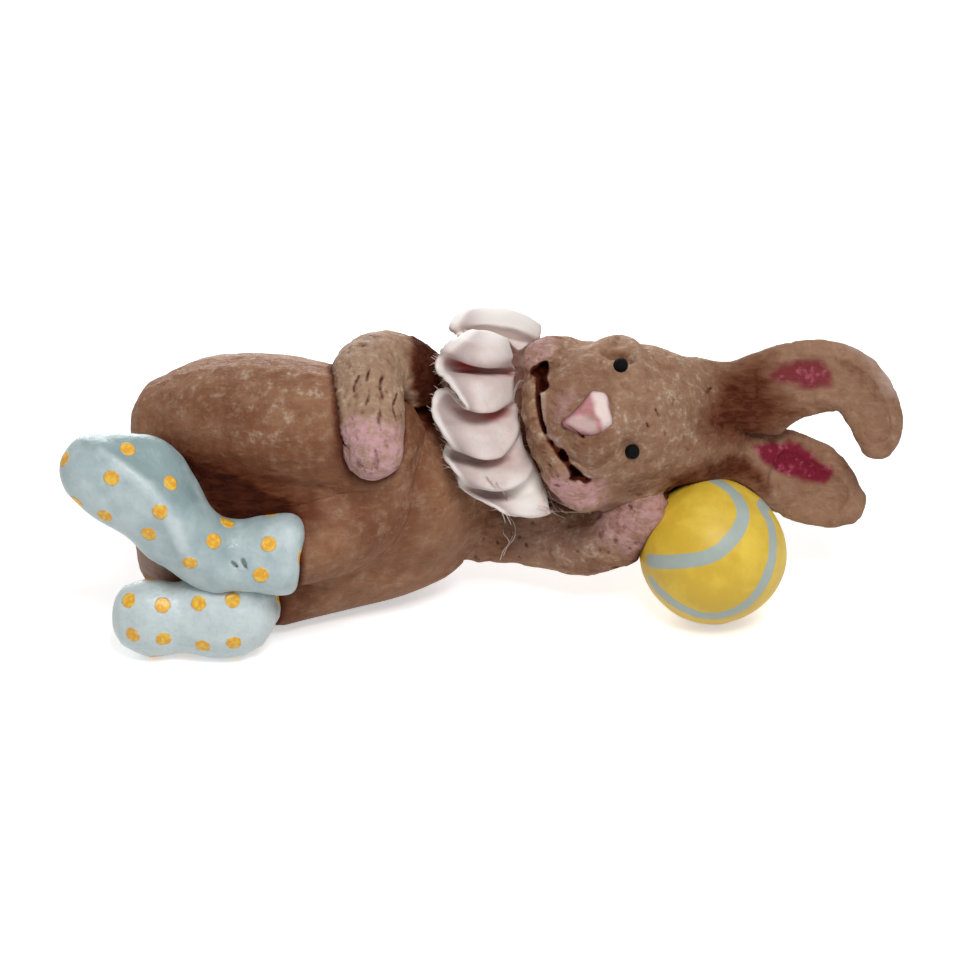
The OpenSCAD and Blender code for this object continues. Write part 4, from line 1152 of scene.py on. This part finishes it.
def make_ruffle():
    """The strip, its middle surface, the ways out of it, and its two sides."""
    net = ruffle_net()
    rows, around = net.shape[:2]
    along = np.roll(net, -1, axis=1) - np.roll(net, 1, axis=1)
    over = np.gradient(net, axis=0)
    out = unit_rows(np.cross(along, over))
    t = np.linspace(0, 1, rows)[:, None]
    edge = np.clip(1 - t / HEM_SHARE, 0, 1)
    flat = net.reshape(-1, 3)
    lift = (noise(flat, 3.2, 0.7) - 0.5).reshape(rows, around) * 2 * CRUMPLE
    ragged = (noise(flat, 0.9, 2.1) - 0.5).reshape(rows, around) * 2 * FRAY
    net = net + out * (lift * np.minimum(1, 6 * t * (1 - t) + 0.4))[..., None]
    net = net - unit_rows(over) * (ragged * np.clip(1 - t / (2 * HEM_SHARE), 0, 1))[..., None]
    thick = CLOTH_T + (HEM_T - CLOTH_T) * edge ** 0.5 * (t > 0)
    sides = [net + out * (side * thick / 2)[..., None] for side in (1, -1)]
    one = rows * around
    front = ring_faces(rows, around)
    back = front[:, ::-1] + one
    i = np.arange(around)
    n = (i + 1) % around
    low = np.stack([i, i + one, n + one, n], 1)
    high = (rows - 1) * around + np.stack([i, n, n + one, i + one], 1)
    points = np.concatenate([c.reshape(-1, 3) for c in sides])
    piece = mesh_object("ruffle_cloth", points, np.concatenate([front, back, low, high]).tolist())
    return piece, net, out, sides


ruffle, ruffle_mid, ruffle_out, ruffle_sides = make_ruffle()
around_tree = ray_tree(*(skins[name] for name in ("torso", "head", "jaw", "right_arm", "left_arm")), ruffle)
LOOKS_OUT = 14
SEES = 9.0
LOOK_START = 0.15
LEAN_OUT = 1.05


def openness(points, normals):
    """Share of the directions out of each point that meet nothing near."""
    rng = np.random.default_rng(5)
    ways = unit_rows(rng.normal(size=(LOOKS_OUT, 3)))
    free = np.zeros(len(points))
    for k, (p, n) in enumerate(zip(points, normals)):
        start = Vector((p + n * LOOK_START) * MM)
        for way in unit_rows(ways + n * LEAN_OUT):
            if around_tree.ray_cast(start, Vector(way), SEES * MM)[0] is None:
                free[k] += 1
    return free / LOOKS_OUT


def ruffle_openness():
    """How open the cloth's two sides are, looked up at nine rows and every fourth place, then spread."""
    rows, around = ruffle_mid.shape[:2]
    js = np.linspace(0, rows - 1, 9).round().astype(int)
    ii = np.arange(0, around, 4)
    sides = []
    for side, surface in zip((1, -1), ruffle_sides):
        at = surface[js][:, ii].reshape(-1, 3)
        way = (ruffle_out[js][:, ii] * side).reshape(-1, 3)
        free = openness(at, way).reshape(len(js), len(ii))
        free = np.stack([np.interp(np.arange(around), ii, row, period=around) for row in free])
        sides.append(np.stack([np.interp(np.arange(rows), js, free[:, k]) for k in range(around)], 1).ravel())
    return np.concatenate(sides)


def spots(places):
    """Share of soft round places of the photograph: middle, reach and strength in pixels."""
    u, v = to_pixels(np.concatenate([c.reshape(-1, 3) for c in ruffle_sides]))
    return np.max([strength * smooth(reach, reach * 0.3, np.hypot(u - u0, v - v0))
                   for u0, v0, reach, strength in path(places)], axis=0)


# Places on the ruffle: middle in pixels, reach in pixels, strength; the grey and red ones place painted shade
GREY_SHADE_SPOTS = "486,492,32,1 474,452,22,0.6"
WHITE_SPOTS = "527,496,28,1 505,318,46,0.7"
RED_SHADE_SPOTS = "465,362,24,0.78 454,406,20,0.7 494,408,22,0.45 519,384,22,0.75"
RED_SHADE_ALL_OVER = 0.22


def paint_ruffle():
    free = ruffle_openness()
    t = np.tile(np.repeat(np.linspace(0, 1, RUFFLE_ROWS), ruffle_mid.shape[1]), 2)
    grey = spots(GREY_SHADE_SPOTS)
    shade_under_hem = smooth(HEM_SHARE, HEM_SHARE * 1.8, t) * smooth(0.42, 0.16, t)
    hem = smooth(HEM_SHARE * 1.35, HEM_SHARE * 0.8, t)
    paint(ruffle, "rim", np.maximum(hem * 0.95, spots(WHITE_SPOTS)))
    # Painted shade: grey in the closed lower folds and in a band under the hem
    paint(ruffle, "grey_shade", np.maximum(grey * smooth(0.85, 0.35, free) * 0.8, shade_under_hem * 0.60))
    # Painted shade: red inside the closed folds, where few rays get out
    paint(ruffle, "depth", smooth(0.55, 0.10, free) * (RED_SHADE_ALL_OVER + spots(RED_SHADE_SPOTS)) * (1 - 0.8 * grey))


paint_ruffle()
ruffle.data.materials.append(cloth_material())
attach(ruffle, "root")
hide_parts("neck_ruffle")

# Frayed ends along both edges, and loose threads that the photograph shows
THREAD_SIDES = 3
THREAD_TIP = 0.4
SIDEWAYS = [0.31, 0.52, 0.79]


def tubes(name, lines, radius):
    """One mesh of thin round threads, one along each line of places in mm."""
    points, faces = [], []
    turns = 2 * math.pi * np.arange(THREAD_SIDES)[:, None] / THREAD_SIDES
    for line in lines:
        along = unit_rows(np.gradient(np.array(line), axis=0))
        side = unit_rows(np.cross(along, SIDEWAYS))
        start = len(points)
        for k, (c, u, v) in enumerate(zip(line, side, np.cross(along, side))):
            r = radius * (1 if k < len(line) - 1 else THREAD_TIP)
            points.extend(c + r * (np.cos(turns) * u + np.sin(turns) * v))
        ends = [range(start, start + THREAD_SIDES)[::-1], range(len(points) - THREAD_SIDES, len(points))]
        faces += ring_faces(len(line), THREAD_SIDES, start).tolist() + [list(end) for end in ends]
    piece = mesh_object(name, np.array(points), faces)
    piece.data.materials.append(thread_look)
    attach(piece, "root")
    return piece


FRAY_COUNT = 420
FRAY_LONGEST = 1.5
FRAY_SHORTEST = 0.25
FRAY_ROOT = 0.3
CHEST_SHARE = 0.7


def fray_lines():
    """Short ends that stand out of the strip's two edges."""
    rng = np.random.default_rng(3)
    lines = []
    rows, around = ruffle_mid.shape[:2]
    for _ in range(FRAY_COUNT):
        i = rng.integers(around)
        j, inner = (0, 2) if rng.random() < CHEST_SHARE else (rows - 1, rows - 3)
        at = ruffle_mid[j, i]
        way = at - ruffle_mid[inner, i]
        way = unit_rows(way + rng.normal(size=3) * 0.5 * np.linalg.norm(way))
        length = FRAY_LONGEST * rng.random() ** 2 + FRAY_SHORTEST
        bend = rng.normal(size=3) * 0.3 * length
        lines.append([at - way * FRAY_ROOT, at + way * length * 0.5 + bend * 0.25, at + way * length + bend])
    return lines


# Pixels along each long loose thread, and how far it stands off the surface behind it in mm
LOOSE = [
    ("506,514 511,524 513,534 509,543 503,551 500,560 495,567 487,570 480,566", 0.5),
    ("509,516 515,526 514,538 507,547 503,556 500,563", 0.7),
    ("502,512 505,522 503,532 509,541 505,550", 0.6),
    ("546,512 556,511 568,512 580,512 591,513", 1.2),
    ("544,500 552,503 560,509 568,514", 1.0),
    ("541,492 549,497 553,505 558,512", 1.0),
    ("548,490 552,498 560,503 571,506", 1.0),
    ("538,506 547,508 556,514 565,518", 1.2),
    ("496,482 501,488 505,495 508,501", 0.8),
    ("486,476 492,483 497,488", 0.8),
]


def loose_lines():
    tree = ray_tree(*skins.values(), ruffle)
    found = [seen(tree, path(pixels), -off) for pixels, off in LOOSE]
    return [curve(stops, 5) for stops in found if len(stops) > 1]


FRAY_R = 0.05
LOOSE_R = 0.14
fray = tubes("ruffle_fray", fray_lines(), FRAY_R)
loose = tubes("loose_threads", loose_lines(), LOOSE_R)

# Stage and lamps: name, place and size in metres, watts
WHITE = (1, 1, 1)
FLOOR_GREY = (0.9, 0.9, 0.9)
FLOOR_HALF = 3.0
FLOOR_GLOW = 0.5
SKY_LIGHT = 0.26
LAMPS = [
    ("key", (0.14, -0.36, 0.56), 0.24, 2.7),
    ("rim", (-0.05, 0.50, 0.22), 0.35, 2.2),
]


def seen_white(make):
    """1 for rays that show the background: to the camera, in a gloss or through a clear piece."""
    gloss, clear, camera = (make.node("LightPath", {}, f"Is {kind} Ray")
                            for kind in ("Glossy", "Transmission", "Camera"))
    return make.most(camera, make.most(gloss, clear))


def make_floor():
    data = bpy.data.meshes.new("floor")
    s = FLOOR_HALF
    data.from_pydata([(-s, -s, 0), (s, -s, 0), (s, s, 0), (-s, s, 0)], [], [(0, 1, 2, 3)])
    floor = new_object("floor", data)
    make = new_maker("floor_paper")
    glow = make.times(seen_white(make), FLOOR_GLOW)
    data.materials.append(make.finish(FLOOR_GREY, 0.9, Emission_Color=WHITE, Emission_Strength=glow))


def make_world():
    world = bpy.data.worlds.new("studio")
    make = Maker(world)
    light = make.node("Background", {"Color": WHITE, "Strength": SKY_LIGHT})
    white = make.node("Background", {"Color": WHITE, "Strength": 1.0})
    sky = make.node("MixShader", {0: seen_white(make), 1: light, 2: white})
    make.node("OutputWorld", {0: sky})
    bpy.context.scene.world = world


def make_lamp(name, at, size, watts):
    data = bpy.data.lights.new(name, "AREA")
    data.size = size
    data.energy = watts
    lamp = new_object(name, data)
    lamp.location = at
    lamp.rotation_euler = (Vector(LOOK_AT * MM) - Vector(at)).to_track_quat("-Z", "Y").to_euler()


make_floor()
make_world()
for lamp in LAMPS:
    make_lamp(*lamp)
bpy.context.scene.view_settings.view_transform = "Standard"
